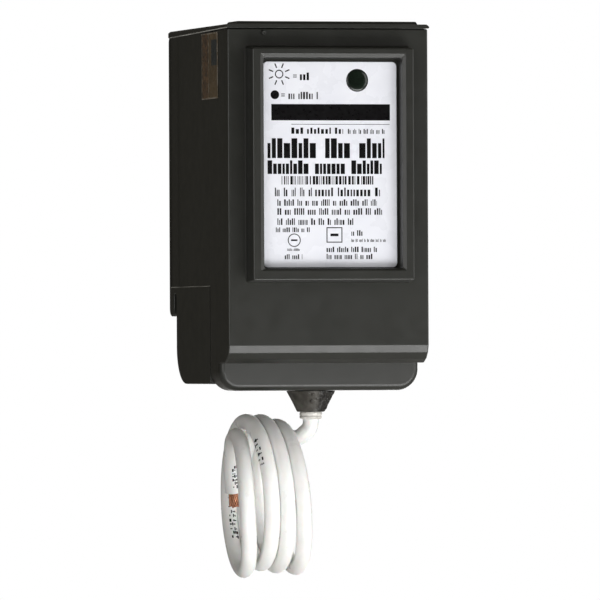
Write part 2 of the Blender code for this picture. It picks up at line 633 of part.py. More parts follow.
def case_screws(mat):
    for side in (-1, 1):
        for z in (SCREW_TOP_Z, SCREW_LOW_Z):
            rear = 0.0 if z > 0 else LOWER_REAR_Y
            label = f"{'left' if side < 0 else 'right'}_{'top' if z > 0 else 'low'}"
            head_back = rear - 0.5 * MM
            head_front = rear - 2.6 * MM
            screw = turned(f"case_screw_{label}", "Y", (side * SCREW_X, z), [
                (0, head_back), (1.2 * MM, head_back), (2.0 * MM, head_back - 0.6 * MM),
                (2.0 * MM, head_front),
                (SCREW_SHANK_R - 0.1 * MM, head_front), (SCREW_SHANK_R - 0.1 * MM, -45.4 * MM),
                (0, -46.4 * MM)], mat, 16)
            for name, wide, tall in (("a", 1.3 * MM, 0.3 * MM), ("b", 0.3 * MM, 1.3 * MM)):
                cut(screw, box(f"cross_{label}_{name}", (side * SCREW_X - wide, side * SCREW_X + wide),
                               (head_back - 0.9 * MM, head_back + 1 * MM), (z - tall, z + tall)))


# ---------------------------------------------------------------- boot and neutral lead
def boot_and_lead(mats):
    # The boot: a flange inside the case, a neck through the split hole and a taper below.
    flange_low = CASE_BOTTOM_Z + WALL + GAP
    flange_top = flange_low + 1.1 * MM
    top = COVER_BOTTOM_Z - GAP
    turned("cable_boot", "Z", (0.0, BOOT_Y), [
        (0, flange_top), (4.9 * MM, flange_top), (5.1 * MM, flange_low), (3.55 * MM, flange_low),
        (3.55 * MM, top), (5.9 * MM, top), (3.4 * MM, top - BOOT_LENGTH + 0.2 * MM),
        (3.1 * MM, top - BOOT_LENGTH), (0, top - BOOT_LENGTH)], mats["boot"])
    collar_top = top - BOOT_LENGTH - GAP
    turned("lead_collar", "Z", (0.0, BOOT_Y), [
        (0, collar_top), (2.6 * MM, collar_top), (2.8 * MM, collar_top - 0.3 * MM),
        (2.7 * MM, collar_top - 1.3 * MM), (2.2 * MM, collar_top - 1.5 * MM), (0, collar_top - 1.5 * MM)],
        mats["white"])
    lead_top = collar_top - 1.5 * MM - GAP
    lead_route = [(0, BOOT_Y, lead_top), (-0.3 * MM, -40.3 * MM, lead_top - 1.8 * MM),
                  (-1.5 * MM, -39.6 * MM, lead_top - 3.6 * MM), (-3.0 * MM, -38.7 * MM, lead_top - 4.9 * MM)]
    tube("neutral_lead", smooth_path(lead_route, 1.6 * MM), CORD_R, mats["white"])

    # The hanging coil, as the ring that its turns fill. It leans a little with its own weight.
    coil = turned("neutral_coil", "X", (0.0, 0.0), [
        (COIL_INNER_R, COIL_LEFT_X), (COIL_OUTER_R, COIL_LEFT_X), (COIL_OUTER_R, COIL_RIGHT_X),
        (COIL_INNER_R, COIL_RIGHT_X)], mats["white"], 40)
    centre_x = (COIL_LEFT_X + COIL_RIGHT_X) / 2
    lean = Matrix.Rotation(math.radians(-COIL_LEAN), 4, "Y")
    coil.data.transform(Matrix.Translation((-centre_x, 0, 0)))
    coil.location = (centre_x, COIL_Y, COIL_Z)
    coil.rotation_euler = lean.to_euler()

    # The cut end curls in from the last turn and hangs inside the coil.
    tail_route = []
    tail_r = 12.3 * MM
    for angle, x in ((34, -20.2 * MM), (56, -19.4 * MM), (84, -18.6 * MM)):
        tail_route.append((x, COIL_Y + tail_r * math.sin(math.radians(angle)),
                           COIL_Z - 0.6 * MM + tail_r * math.cos(math.radians(angle))))
    tube("neutral_tail", smooth_path(tail_route, 2.0 * MM), CORD_R, mats["white"])
    end = Vector(tail_route[-1])
    cylinder("conductor_end", "Z", (end.x, end.y), 1.2 * MM, end.z - 3.7 * MM, end.z - 0.5 * MM,
             mats["copper"], 16)


def build():
    clear_scene()
    black = material("black_housing", (0.018, 0.019, 0.016), 0.45)
    mats = {
        "tin": material("tinned_copper", (0.62, 0.60, 0.56), 0.35, 1.0),
        "steel": material("spring_steel", (0.45, 0.46, 0.48), 0.35, 1.0),
        "copper": material("bare_copper", (0.72, 0.36, 0.20), 0.30, 1.0),
        "brass": material("brass", (0.68, 0.52, 0.24), 0.35, 1.0),
        "epoxy": material("varistor_coating", (0.02, 0.10, 0.32), 0.40),
        "white": material("white_insulation", (0.86, 0.86, 0.84), 0.35),
        "board": material("circuit_laminate", (0.04, 0.20, 0.08), 0.45),
        "resistor": material("resistor_body", (0.36, 0.52, 0.62), 0.50),
        "black": material("small_part_black", (0.02, 0.02, 0.02), 0.40),
        "capacitor": material("capacitor_sleeve", (0.03, 0.04, 0.12), 0.35),
        "barrier": material("fibre_barrier", (0.50, 0.47, 0.38), 0.75),
        "boot": material("boot_compound", (0.045, 0.038, 0.033), 0.60),
    }
    rear_case(black)
    front_cover(black)
    label_and_lens(material("label_face", (0.78, 0.79, 0.88), 0.35),
                   material("lens_green", (0.012, 0.03, 0.015), 0.15),
                   material("led_green", (0.05, 0.25, 0.08), 0.20))
    tamper_seal(material("seal_film", (0.035, 0.025, 0.018), 0.35))
    for side in (-1, 1):
        pole(side, mats)
    neutral_side(mats)
    board_and_parts(mats)
    case_screws(mats["steel"])
    boot_and_lead(mats)


build()
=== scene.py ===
import math
import random

import bpy
import bmesh
from mathutils import Matrix, Vector, noise


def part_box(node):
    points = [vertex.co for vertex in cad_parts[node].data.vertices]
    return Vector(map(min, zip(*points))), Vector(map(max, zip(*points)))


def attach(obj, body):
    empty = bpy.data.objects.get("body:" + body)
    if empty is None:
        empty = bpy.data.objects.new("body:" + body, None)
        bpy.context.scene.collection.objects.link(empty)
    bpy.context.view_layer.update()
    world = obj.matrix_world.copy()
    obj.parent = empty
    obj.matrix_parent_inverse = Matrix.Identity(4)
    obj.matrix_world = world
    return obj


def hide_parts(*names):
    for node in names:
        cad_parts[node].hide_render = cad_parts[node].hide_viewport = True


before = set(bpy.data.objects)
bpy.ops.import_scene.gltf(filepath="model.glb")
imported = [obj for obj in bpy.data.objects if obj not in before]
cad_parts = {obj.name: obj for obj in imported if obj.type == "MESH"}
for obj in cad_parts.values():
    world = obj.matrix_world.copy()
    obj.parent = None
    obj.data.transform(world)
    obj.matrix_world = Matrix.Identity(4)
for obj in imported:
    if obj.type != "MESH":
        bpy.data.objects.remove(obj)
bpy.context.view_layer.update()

MM = 0.001


def node_box(node):
    """A CAD node's lowest and highest corner, in millimetres."""
    low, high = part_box(node)
    return low / MM, high / MM


# ------ driving dimensions, mm
CASE_LOW, CASE_HIGH = node_box("rear_case")
COVER_LOW, COVER_HIGH = node_box("front_cover")
LABEL_LOW, LABEL_HIGH = node_box("label_plate")
LENS_LOW, LENS_HIGH = node_box("status_lens")
BOOT_LOW, BOOT_HIGH = node_box("cable_boot")
COLLAR_LOW = node_box("lead_collar")[0]
SEAL_LOW, SEAL_HIGH = node_box("tamper_seal")

RIM_OUT = 0.35
HALF = CASE_HIGH.x - RIM_OUT
SEAM_CASE = CASE_LOW.y
SEAM_COVER = COVER_HIGH.y
PLATEAU_Z = COVER_HIGH.z + 0.1
RIM_TOP_Z = COVER_HIGH.z - 0.6
TOP_Z = COVER_HIGH.z - 1.9
PLATEAU_HALF = 22.4
PLATEAU_REAR_Y = -48.2
WALL = 2.0
BLOCK_FRONT_Y = COVER_LOW.y
FRONT_Y = BLOCK_FRONT_Y + 5.2
LOWER_FRONT_Y = -49.3
COVER_BOTTOM_Z = COVER_LOW.z
CASE_BOTTOM_Z = COVER_BOTTOM_Z + 1.7
PANEL_BOTTOM_Z = -37.7
LOWER_CORNER = 5.0
LOWER_DRAFT = 0.12
LIP_CHAMFER = 0.2
HOOK_TIP_Z = -26.0
HOOK_THICK = 4.2
SLOT_ROOF_Z = -20.4
LOWER_REAR_Y = -6.8
REAR_BOTTOM_R = 9.0
LEDGE_Z = -18.8
CREASE_Y = -8.5
BLOCK_HALF = 20.2
BLOCK_TOP_Z = 38.6
BLOCK_BOTTOM_Z = -17.6
MOUTH_HALF = 18.2
MOUTH_TOP_Z = 37.2
MOUTH_LOW_Z = -15.25
RECESS_Y = LABEL_HIGH.y + 0.15
LENS_X = (LENS_LOW.x + LENS_HIGH.x) / 2
LENS_Z = (LENS_LOW.z + LENS_HIGH.z) / 2
JAW_X = 12.7
JAW_SLOT_HALF = 2.8
JAW_SLOT_LOW_Z = 27.0
JAW_SLOT_DEPTH = 20.0
SCREWS = [(x, z) for x in (-20.2, 20.2) for z in (38.6, -36.4)]
SCREW_POST_R = 3.1
SCREW_HOLE_R = 1.55
BOOT_Y = (BOOT_LOW.y + BOOT_HIGH.y) / 2
WIRE_R = 1.95
COIL_Y = -48.0
COIL_LEAN = math.radians(2.9)
LENS_HOLE_R = 2.78
FLOOR_Z = -320.0
FLOOR_REACH = 7000.0


# ------ outlines
def arc(ca, cb, radius, start, end, steps):
    """Points on an arc, angles in degrees, both ends included."""
    angles = [math.radians(start + (end - start) * i / steps) for i in range(steps + 1)]
    return [(ca + radius * math.cos(t), cb + radius * math.sin(t)) for t in angles]


def circle(ca, cb, radius, steps):
    return arc(ca, cb, radius, 0, 360 - 360 / steps, steps - 1)


def rectangle(a0, a1, b0, b1):
    return [(a0, b0), (a1, b0), (a1, b1), (a0, b1)]


def fillet(corners, steps):
    """A closed outline from corners (a, b, radius), each rounded to its radius."""
    points = []
    for i, (a, b, radius) in enumerate(corners):
        if radius == 0:
            points.append((a, b))
            continue
        here = Vector((a, b))
        before = (Vector(corners[i - 1][:2]) - here).normalized()
        after = (Vector(corners[(i + 1) % len(corners)][:2]) - here).normalized()
        half = before.angle(after) / 2
        run = radius / math.tan(half)
        centre = here + (before + after).normalized() * (radius / math.sin(half))
        start, end = here + before * run - centre, here + after * run - centre
        first = math.atan2(start.y, start.x)
        sweep = (math.atan2(end.y, end.x) - first + math.pi) % (2 * math.pi) - math.pi
        for k in range(steps + 1):
            angle = first + sweep * k / steps
            points.append((centre.x + radius * math.cos(angle), centre.y + radius * math.sin(angle)))
    return points


def rounded_rectangle(a0, a1, b0, b1, radius, steps=6):
    return fillet([(a, b, radius) for a, b in rectangle(a0, a1, b0, b1)], steps)


def inset(outline, distance):
    """The outline moved inwards by a distance, with the same number of points."""
    points = [Vector(p) for p in outline]
    area = sum(p.x * q.y - q.x * p.y for p, q in zip(points, points[1:] + points[:1]))
    side = 1 if area > 0 else -1
    moved = []
    for before, here, after in zip(points[-1:] + points[:-1], points, points[1:] + points[:1]):
        one, two = (here - before).normalized(), (after - here).normalized()
        normals = Vector((-one.y, one.x)) + Vector((-two.y, two.x))
        moved.append(here + normals * (side * distance / (1 + one.dot(two))))
    return [(p.x, p.y) for p in moved]


# ------ solids
def place(axis, along, a, b):
    """A point at `along` on the axis; a and b are the other two coordinates in X, Y, Z order."""
    return {"X": (along, a, b), "Y": (a, along, b), "Z": (a, b, along)}[axis]


def show(name, data):
    """A new object that holds the data, in the scene."""
    obj = bpy.data.objects.new(name, data)
    bpy.context.scene.collection.objects.link(obj)
    return obj


def add_object(name, bm, mat=None, sharp=32):
    """An object from a mesh that is drawn in millimetres; edges above the angle stay sharp."""
    bmesh.ops.recalc_face_normals(bm, faces=bm.faces)
    mesh = bpy.data.meshes.new(name)
    bm.to_mesh(mesh)
    bm.free()
    mesh.transform(Matrix.Scale(MM, 4))
    if mat:
        mesh.materials.append(mat)
    mesh.shade_smooth()
    mesh.set_sharp_from_angle(angle=math.radians(sharp))
    return show(name, mesh)


def skin(bm, rings, closed=False):
    """Quads between rings of equal size; a ring of one vertex is a tip."""
    pairs = list(zip(rings, rings[1:])) + ([(rings[-1], rings[0])] if closed else [])
    for ring, following in pairs:
        for i in range(max(len(ring), len(following))):
            j = i + 1
            corners = [ring[i % len(ring)], ring[j % len(ring)],
                       following[j % len(following)], following[i % len(following)]]
            bm.faces.new(list(dict.fromkeys(corners)))


def loft(name, axis, sections, mat=None):
    """A closed solid through sections [(along, outline), ...] of equal point counts."""
    bm = bmesh.new()
    rings = [[bm.verts.new(place(axis, along, a, b)) for a, b in outline] for along, outline in sections]
    skin(bm, rings)
    bm.faces.new(rings[0])
    bm.faces.new(rings[-1])
    return add_object(name, bm, mat)


def round_over(edge, steps):
    """(depth, margin) pairs of a quarter-round edge, from the end face inwards."""
    angles = [math.pi / 2 * k / steps for k in range(steps + 1)]
    return [(edge * (1 - math.cos(a)), edge * (1 - math.sin(a))) for a in angles]


def prism(name, axis, outline, low, high, mat=None, edge=0.0, steps=4):
    """An extrusion whose two end edges are rounded to `edge`."""
    if edge == 0:
        return loft(name, axis, [(low, outline), (high, outline)], mat)
    rounds = [(depth, inset(outline, margin)) for depth, margin in round_over(edge, steps)]
    near = [(low + depth, ring) for depth, ring in rounds]
    far = [(high - depth, ring) for depth, ring in reversed(rounds)]
    return loft(name, axis, near + far, mat)


def box(name, x, y, z):
    return prism(name, "Z", rectangle(*x, *y), *z)


def cylinder(name, axis, centre, radius, low, high, steps=48):
    return prism(name, axis, circle(*centre, radius, steps), low, high)


def turned(name, axis, centre, profile, mat=None, steps=32, wobble=None):
    """A solid of revolution from a profile [(radius, along), ...]; one that starts off the axis is a ring."""
    bm = bmesh.new()
    rings = []
    for radius, along in profile:
        ring = []
        for a, b in ([centre] if radius == 0 else circle(*centre, radius, steps)):
            point = Vector(place(axis, along, a, b))
            ring.append(bm.verts.new(wobble(point) if wobble and radius else point))
        rings.append(ring)
    skin(bm, rings, closed=profile[0][0] != 0)
    return add_object(name, bm, mat)


def settle(obj, sharp=32, merge=0.002):
    """Applies an object's modifiers and cleans what a Boolean leaves."""
    graph = bpy.context.evaluated_depsgraph_get()
    mesh = bpy.data.meshes.new_from_object(obj.evaluated_get(graph), depsgraph=graph)
    bm = bmesh.new()
    bm.from_mesh(mesh)
    bmesh.ops.remove_doubles(bm, verts=bm.verts, dist=merge * MM)
    bmesh.ops.dissolve_limit(bm, angle_limit=math.radians(0.4), verts=bm.verts, edges=bm.edges)
    bm.to_mesh(mesh)
    bm.free()
    mesh.shade_smooth()
    mesh.set_sharp_from_angle(angle=math.radians(sharp))
    obj.modifiers.clear()
    obj.data = mesh
    return obj


def boolean(target, operation, *tools):
    for tool in tools:
        modifier = target.modifiers.new(operation.title(), "BOOLEAN")
        modifier.operation = operation
        modifier.solver = "EXACT"
        modifier.object = tool
    bpy.context.view_layer.update()
    settle(target)
    for tool in tools:
        bpy.data.objects.remove(tool, do_unlink=True)
    return target


def cut(target, *tools):
    return boolean(target, "DIFFERENCE", *tools)


def join(target, *tools):
    return boolean(target, "UNION", *tools)


def even_shading(obj):
    """Keeps flat faces flat next to their rounded edges."""
    modifier = obj.modifiers.new("Even shading", "WEIGHTED_NORMAL")
    modifier.keep_sharp = True
    return obj


def paint_edge_highlight(obj, mat, *tests):
    """Gives the faces that pass a test(centre in mm, normal) the edge finish: a painted highlight, a pale
    line that stands in for the glint of light along an edge.
    """
    obj.data.materials.append(mat)
    for face in obj.data.polygons:
        if any(test(face.center / MM, face.normal) for test in tests):
            face.material_index = 1


def on_lip_edge(centre, normal):
    above = centre.z - rim_low(centre.y)
    return abs(normal.x) > 0.4 and normal.z < -0.4 and 0 < above < LIP_CHAMFER


def on_seam_edge(centre, normal):
    sideways = abs(normal.x) > 0.2 or normal.z < -0.2
    return sideways and normal.y > 0.02 and 0 < SEAM_COVER - centre.y < 0.4 and centre.z < 42.8


def on_ledge(centre, normal):
    return abs(normal.x) > 0.1 and normal.z > 0.1 and abs(centre.z - LEDGE_Z) < 0.15


def finish_piece(obj, replaced=()):
    """Every piece drawn here belongs to the closed case; only the CAD's own disconnect arms move."""
    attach(obj, "root")
    if replaced:
        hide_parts(*replaced)


# ------ materials
class Nodes:
    """A material's node tree, with short ways to add the few nodes that the surfaces here use."""

    def __init__(self, name, **values):
        self.material = bpy.data.materials.new(name)
        self.material.use_nodes = True
        self.tree = self.material.node_tree
        self.shader = self.tree.nodes["Principled BSDF"]
        self.where = self.add("TexCoord").outputs["Object"]
        for socket, value in values.items():
            self.shader.inputs[socket.replace("_", " ")].default_value = value

    def add(self, kind):
        return self.tree.nodes.new("ShaderNode" + kind)

    def link(self, source, target):
        self.tree.links.new(source, target)

    def noise(self, size, detail=4.0, stretch=(1, 1, 1), distortion=0.0):
        """Noise whose features are about `size` millimetres, longer where stretch is below 1."""
        mapping = self.add("Mapping")
        mapping.inputs["Scale"].default_value = stretch
        self.link(self.where, mapping.inputs["Vector"])
        node = self.add("TexNoise")
        node.inputs["Scale"].default_value = 1 / (size * MM)
        node.inputs["Detail"].default_value = detail
        node.inputs["Distortion"].default_value = distortion
        self.link(mapping.outputs["Vector"], node.inputs["Vector"])
        return node.outputs["Fac"]

    def ramp(self, source, *stops):
        """Colours (position, (r, g, b)) or grey values (position, value) along a source."""
        node = self.add("ValToRGB")
        elements = node.color_ramp.elements
        while len(elements) < len(stops):
            elements.new(0.5)
        for element, (position, colour) in zip(elements, stops):
            element.position = position
            rgb = colour if isinstance(colour, tuple) else (colour,) * 3
            element.color = (*rgb, 1.0)
        self.link(source, node.inputs["Fac"])
        return node.outputs["Color"]

    def feed(self, value, socket):
        """Sets a number or a colour on a socket, or links a source to it."""
        if isinstance(value, tuple):
            socket.default_value = (*value, 1.0)
        elif isinstance(value, (int, float)):
            socket.default_value = value
        else:
            self.link(value, socket)

    def mix(self, factor, first, second):
        node = self.add("Mix")
        node.data_type = "RGBA"
        for value, name in ((factor, "Factor"), (first, "A"), (second, "B")):
            self.feed(value, node.inputs[name])
        return node.outputs["Result"]

    def maths(self, operation, first, second):
        node = self.add("Math")
        node.operation = operation
        self.feed(first, node.inputs[0])
        self.feed(second, node.inputs[1])
        return node.outputs["Value"]

    def axis(self, letter):
        node = self.add("SeparateXYZ")
        self.link(self.where, node.inputs["Vector"])
        return node.outputs[letter]

    def band(self, letter, low, high):
        """1 where a coordinate lies between low and high millimetres, otherwise 0."""
        value = self.axis(letter)
        above = self.maths("GREATER_THAN", value, low * MM)
        return self.maths("MULTIPLY", above, self.maths("LESS_THAN", value, high * MM))

    def colour(self, source):
        self.link(source, self.shader.inputs["Base Color"])

    def roughness(self, size, low, high, stretch=(1, 1, 1)):
        self.link(self.ramp(self.noise(size, 5, stretch), (0.3, low), (0.7, high)),
                  self.shader.inputs["Roughness"])

    def bump(self, *layers):
        """Layers (height source, depth in millimetres), from the coarsest to the finest."""
        previous = None
        for source, depth in layers:
            node = self.add("Bump")
            node.inputs["Distance"].default_value = depth * MM
            self.link(source, node.inputs["Height"])
            if previous:
                self.link(previous, node.inputs["Normal"])
            previous = node.outputs["Normal"]
        self.link(previous, self.shader.inputs["Normal"])


def mottled(name, dark, light, size, rough, grain=0.3, depth=0.004, stretch=(1, 1, 1), **values):
    """A surface whose colour drifts between two shades, with a fine grain."""
    nodes = Nodes(name, **values)
    nodes.colour(nodes.ramp(nodes.noise(size, 5, stretch), (0.3, dark), (0.7, light)))
    nodes.roughness(size * 0.6, *rough, stretch=stretch)
    nodes.bump((nodes.noise(grain, 3, stretch), depth))
    return nodes


def plain(*look, **values):
    return mottled(*look, **values).material


def metal(name, dark, light, rough, size=2.5):
    return plain(name, dark, light, size, rough, 0.25, 0.002, Metallic=1.0)


def housing_material():
    """Black moulded thermoset: fine grain and faint cloudiness."""
    nodes = Nodes("moulded black", Specular_IOR_Level=0.5)
    dark, light = (0.0165, 0.0170, 0.0140), (0.0190, 0.0195, 0.0162)
    nodes.colour(nodes.ramp(nodes.noise(9.0, 5), (0.3, dark), (0.7, light)))
    nodes.roughness(3.5, 0.33, 0.39)
    nodes.bump((nodes.noise(9.0, 2), 0.02), (nodes.noise(0.5, 3), 0.003), (nodes.noise(0.14, 2), 0.0012))
    return nodes.material


def seal_material():
    """Brown security tape: mottled print, a clear window near its front edge, and broken pale lines along its
    edges and over its ridge at the seam, which are painted highlights.
    """
    nodes = Nodes("security tape", Coat_Weight=0.2, Coat_Roughness=0.25)
    blotch = nodes.ramp(nodes.noise(0.9, 4, distortion=0.8),
                        (0.42, (0.030, 0.018, 0.010)), (0.58, (0.150, 0.088, 0.045)))
    even = nodes.ramp(nodes.noise(3.0, 3), (0.35, (0.085, 0.058, 0.028)), (0.65, (0.125, 0.086, 0.044)))
    tape_colour = nodes.mix(nodes.band("Y", SEAM_COVER, 0), even, blotch)
    window = nodes.maths("MULTIPLY", nodes.band("Y", SEAL_LOW.y + 0.6, SEAM_COVER - 2.6),
                         nodes.band("Z", 34.9, 41.2))
    tape_colour = nodes.mix(window, tape_colour, (0.020, 0.027, 0.030))
    # Painted highlights: broken pale lines where the tape's edges and its ridge over the seam catch the
    # light.
    painted_glint_breakup = nodes.ramp(nodes.noise(1.2, 3), (0.42, 0.15), (0.56, 0.85))
    for letter, low, high in (
            ("Z", SEAL_LOW.z - 1, SEAL_LOW.z + 0.3), ("Z", SEAL_HIGH.z - 0.35, SEAL_HIGH.z + 1),
            ("Y", SEAM_COVER - 0.35, SEAM_COVER + 0.35), ("Y", SEAL_LOW.y - 1, SEAL_LOW.y + 0.5),
            ("Y", SEAL_HIGH.y - 0.5, SEAL_HIGH.y + 1)):
        line = nodes.maths("MULTIPLY", nodes.band(letter, low, high), painted_glint_breakup)
        tape_colour = nodes.mix(line, tape_colour, (0.30, 0.27, 0.22))
    nodes.colour(tape_colour)
    nodes.roughness(0.9, 0.28, 0.5)
    nodes.bump((nodes.noise(1.6, 4), 0.05), (nodes.noise(0.4, 2), 0.008))
    return nodes.material


def boot_material():
    """Potting compound: greyer on the left, where the lighter grey is partly a painted sheen, and darker on
    the right, where the compound was spilt.
    """
    nodes = Nodes("potting compound", Specular_IOR_Level=0.35)
    smooth = nodes.ramp(nodes.noise(2.2, 6), (0.35, (0.032, 0.029, 0.024)), (0.68, (0.078, 0.073, 0.063)))
    spilt = nodes.ramp(nodes.noise(0.7, 4), (0.4, (0.006, 0.005, 0.004)), (0.62, (0.024, 0.022, 0.019)))
    # Left to right: the left's lighter grey is partly a painted sheen; the right takes the darker spilt
    # compound.
    rightward = nodes.maths("MULTIPLY", nodes.axis("X"), 1 / (2.5 * MM))
    nodes.colour(nodes.mix(nodes.ramp(rightward, (0.0, 0.0), (0.5, 1.0)), smooth, spilt))
    nodes.roughness(0.9, 0.3, 0.55)
    nodes.bump((nodes.noise(1.0, 5), 0.05), (nodes.noise(0.25, 3), 0.012))
    return nodes.material


def resistor_material():
    """A glazed body with generic colour bands across it."""
    nodes = mottled("resistor body", (0.27, 0.42, 0.50), (0.36, 0.52, 0.60), 2.0, (0.3, 0.45), 0.3, 0.004)
    colour = nodes.shader.inputs["Base Color"].links[0].from_socket
    red, black, orange = (0.30, 0.06, 0.02), (0.02, 0.02, 0.02), (0.45, 0.20, 0.02)
    for x, paint in ((-13.6, red), (-12.2, black), (-10.8, orange), (4.4, red), (5.4, black), (6.4, orange)):
        colour = nodes.mix(nodes.band("X", x - 0.25, x + 0.25), colour, paint)
    nodes.colour(colour)
    return nodes.material


def board_material():
    """Green solder mask over a woven laminate."""
    nodes = mottled("solder mask", (0.020, 0.105, 0.040), (0.030, 0.140, 0.055), 4.0, (0.25, 0.4))
    wave = nodes.add("TexWave")
    wave.inputs["Scale"].default_value = 1 / (2.4 * MM)
    wave.inputs["Distortion"].default_value = 0.6
    nodes.link(nodes.where, wave.inputs["Vector"])
    nodes.bump((wave.outputs["Fac"], 0.01), (nodes.noise(0.3, 3), 0.003))
    return nodes.material


def make_materials():
    """The finish of every slot, then those of the ink, the painted edge highlights and the collar."""
    return {
        "black_housing": housing_material(),
        "tinned_copper": metal("tinned copper", (0.50, 0.48, 0.44), (0.66, 0.64, 0.60), (0.28, 0.5)),
        "spring_steel": metal("spring steel", (0.36, 0.37, 0.39), (0.55, 0.56, 0.58), (0.22, 0.4)),
        "bare_copper": metal("bare copper", (0.34, 0.145, 0.080), (0.52, 0.265, 0.165), (0.2, 0.34)),
        "brass": metal("brass", (0.52, 0.38, 0.15), (0.70, 0.54, 0.26), (0.25, 0.42)),
        "varistor_coating": plain("varistor coating", (0.012, 0.07, 0.25), (0.025, 0.12, 0.36), 3.0,
                                  (0.3, 0.5), 0.7, 0.02),
        "white_insulation": plain("white insulation", (0.80, 0.80, 0.775), (0.87, 0.87, 0.855), 5.0,
                                  (0.26, 0.40), 0.5, 0.004, Subsurface_Weight=0.15, Subsurface_Scale=0.001),
        "circuit_laminate": board_material(),
        "resistor_body": resistor_material(),
        "small_part_black": plain("moulded package", (0.012, 0.012, 0.012), (0.024, 0.024, 0.026), 1.0,
                                  (0.35, 0.5)),
        "capacitor_sleeve": plain("capacitor sleeve", (0.018, 0.025, 0.08), (0.035, 0.045, 0.14), 3.0,
                                  (0.22, 0.38)),
        "fibre_barrier": plain("vulcanised fibre", (0.40, 0.36, 0.28), (0.56, 0.52, 0.43), 1.4,
                               (0.65, 0.85), 0.2, 0.012, (1, 1, 0.3)),
        "boot_compound": boot_material(),
        "label_face": plain("label film", (0.79, 0.80, 0.86), (0.84, 0.85, 0.90), 9.0, (0.22, 0.34),
                            1.2, 0.003, Coat_Weight=0.4, Coat_Roughness=0.12),
        "lens_green": plain("dark green lens", (0.0032, 0.0065, 0.0042), (0.006, 0.012, 0.0075), 1.6,
                            (0.12, 0.2), 0.8, 0.003, IOR=1.5),
        "led_green": plain("diode lens", (0.03, 0.18, 0.06), (0.06, 0.28, 0.10), 1.5, (0.1, 0.2), 0.4, 0.002,
                           Transmission_Weight=0.3),
        "seal_film": seal_material(),
        "ink": plain("label ink", (0.0016, 0.0015, 0.0018), (0.0040, 0.0037, 0.0042), 1.2, (0.25, 0.4),
                     0.2, 0.001, Specular_IOR_Level=0.18),
        # Painted highlight: pale grey standing in for the glint on the lip's lower edge, the cover's seam
        # edge and the side ledge.
        "painted_edge_highlight": plain("painted edge highlight", (0.24, 0.24, 0.22), (0.62, 0.62, 0.58), 8.0, (0.3, 0.45),
                           0.3, 0.002),
        # Its greyer tone is partly the collar's own greyish cream and partly painted shade, standing in for
        # less of the low front light reaching it.
        "collar": plain("collar", (0.50, 0.48, 0.44), (0.72, 0.70, 0.66), 1.3, (0.35, 0.55), 0.4, 0.01),
    }


def paint_frame(materials):
    """Every CAD node gets the finish of its slot."""
    finishes = {
        "tinned_copper": "line_jaw varistor_tab varistor_lead",
        "spring_steel": "jaw_spring arm_pin arm_spring terminal_screw case_screw",
        "bare_copper": "line_strap disconnect_arm neutral_bus conductor_end",
        "brass": "arm_bracket neutral_terminal",
        "varistor_coating": "varistor_left varistor_right",
        "white_insulation": "inner_neutral_lead neutral_ lead_collar",
        "circuit_laminate": "circuit_board",
        "resistor_body": "dropper_resistor led_resistor",
        "small_part_black": "indicator_diode",
        "capacitor_sleeve": "filter_capacitor",
        "fibre_barrier": "phase_barrier",
        "boot_compound": "cable_boot",
        "label_face": "label_plate",
        "lens_green": "status_lens",
        "led_green": "status_led",
        "seal_film": "tamper_seal",
        "black_housing": "rear_case front_cover",
    }
    for name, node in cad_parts.items():
        chosen = next(slot for slot, starts in finishes.items() if name.startswith(tuple(starts.split())))
        node.data.materials.clear()
        node.data.materials.append(materials[chosen])


# ------ camera, light and floor
def add_camera():
    """The photograph's viewpoint: a long lens, 15 degrees round to the left and nearly level."""
    data = bpy.data.cameras.new("camera")
    data.sensor_width = 36.0
    data.lens = 579.3
    camera = show("camera", data)
    camera.matrix_world = Matrix.Translation((-0.6142, -2.3199, -0.0375))
    for degrees, axis in ((-15.02, "Z"), (90.37, "X"), (-0.27, "Z")):
        camera.matrix_world @= Matrix.Rotation(math.radians(degrees), 4, axis)
    bpy.context.scene.camera = camera


def add_light(name, azimuth, elevation, distance, width, height, radiance, colour=(1, 1, 1)):
    """A softbox facing the object. Azimuth 0 is straight in front, positive towards +X."""
    a, e = math.radians(azimuth), math.radians(elevation)
    direction = Vector((math.sin(a) * math.cos(e), -math.cos(a) * math.cos(e), math.sin(e)))
    data = bpy.data.lights.new(name, "AREA")
    data.shape = "RECTANGLE"
    data.size, data.size_y = width, height
    data.energy = radiance * math.pi * width * height
    data.color = colour
    light = show(name, data)
    light.location = Vector((0.0, -0.045, -0.01)) + direction * distance
    light.rotation_mode = "QUATERNION"
    light.rotation_quaternion = direction.to_track_quat("Z", "Y")
    light.visible_camera = False


def add_backdrop():
    """White to the camera, and a dim, slightly warm surround for everything else."""
    bpy.context.scene.view_settings.view_transform = "Standard"
    world = bpy.data.worlds.new("studio")
    bpy.context.scene.world = world
    world.use_nodes = True
    tree = world.node_tree
    path = tree.nodes.new("ShaderNodeLightPath")
    seen = tree.nodes.new("ShaderNodeMix")
    seen.data_type = "RGBA"
    seen.inputs["A"].default_value = (0.066, 0.061, 0.052, 1)
    seen.inputs["B"].default_value = (1, 1, 1, 1)
    tree.links.new(path.outputs["Is Camera Ray"], seen.inputs["Factor"])
    tree.links.new(seen.outputs["Result"], tree.nodes["Background"].inputs["Color"])


def add_lights():
    warm = (1.0, 0.94, 0.84)
    add_light("key left", -38, 2, 1.4, 0.9, 1.0, 2.4)
    add_light("key right", 50, 7, 1.4, 0.8, 1.0, 2.4)
    add_light("low front", 17.7, -32.4, 0.45, 0.40, 0.17, 7.2)
    add_light("right", 82, 5, 1.2, 0.4, 0.9, 1.4)
    add_light("left fill", -80, 10, 1.3, 0.5, 0.7, 0.5)
    add_light("behind", 160, -8, 1.1, 0.35, 0.8, 4.0)
    add_light("behind right", 130, 62, 1.4, 0.9, 0.6, 1.8, warm)
    add_light("behind left", -125, 62, 1.4, 0.6, 0.5, 1.1, warm)


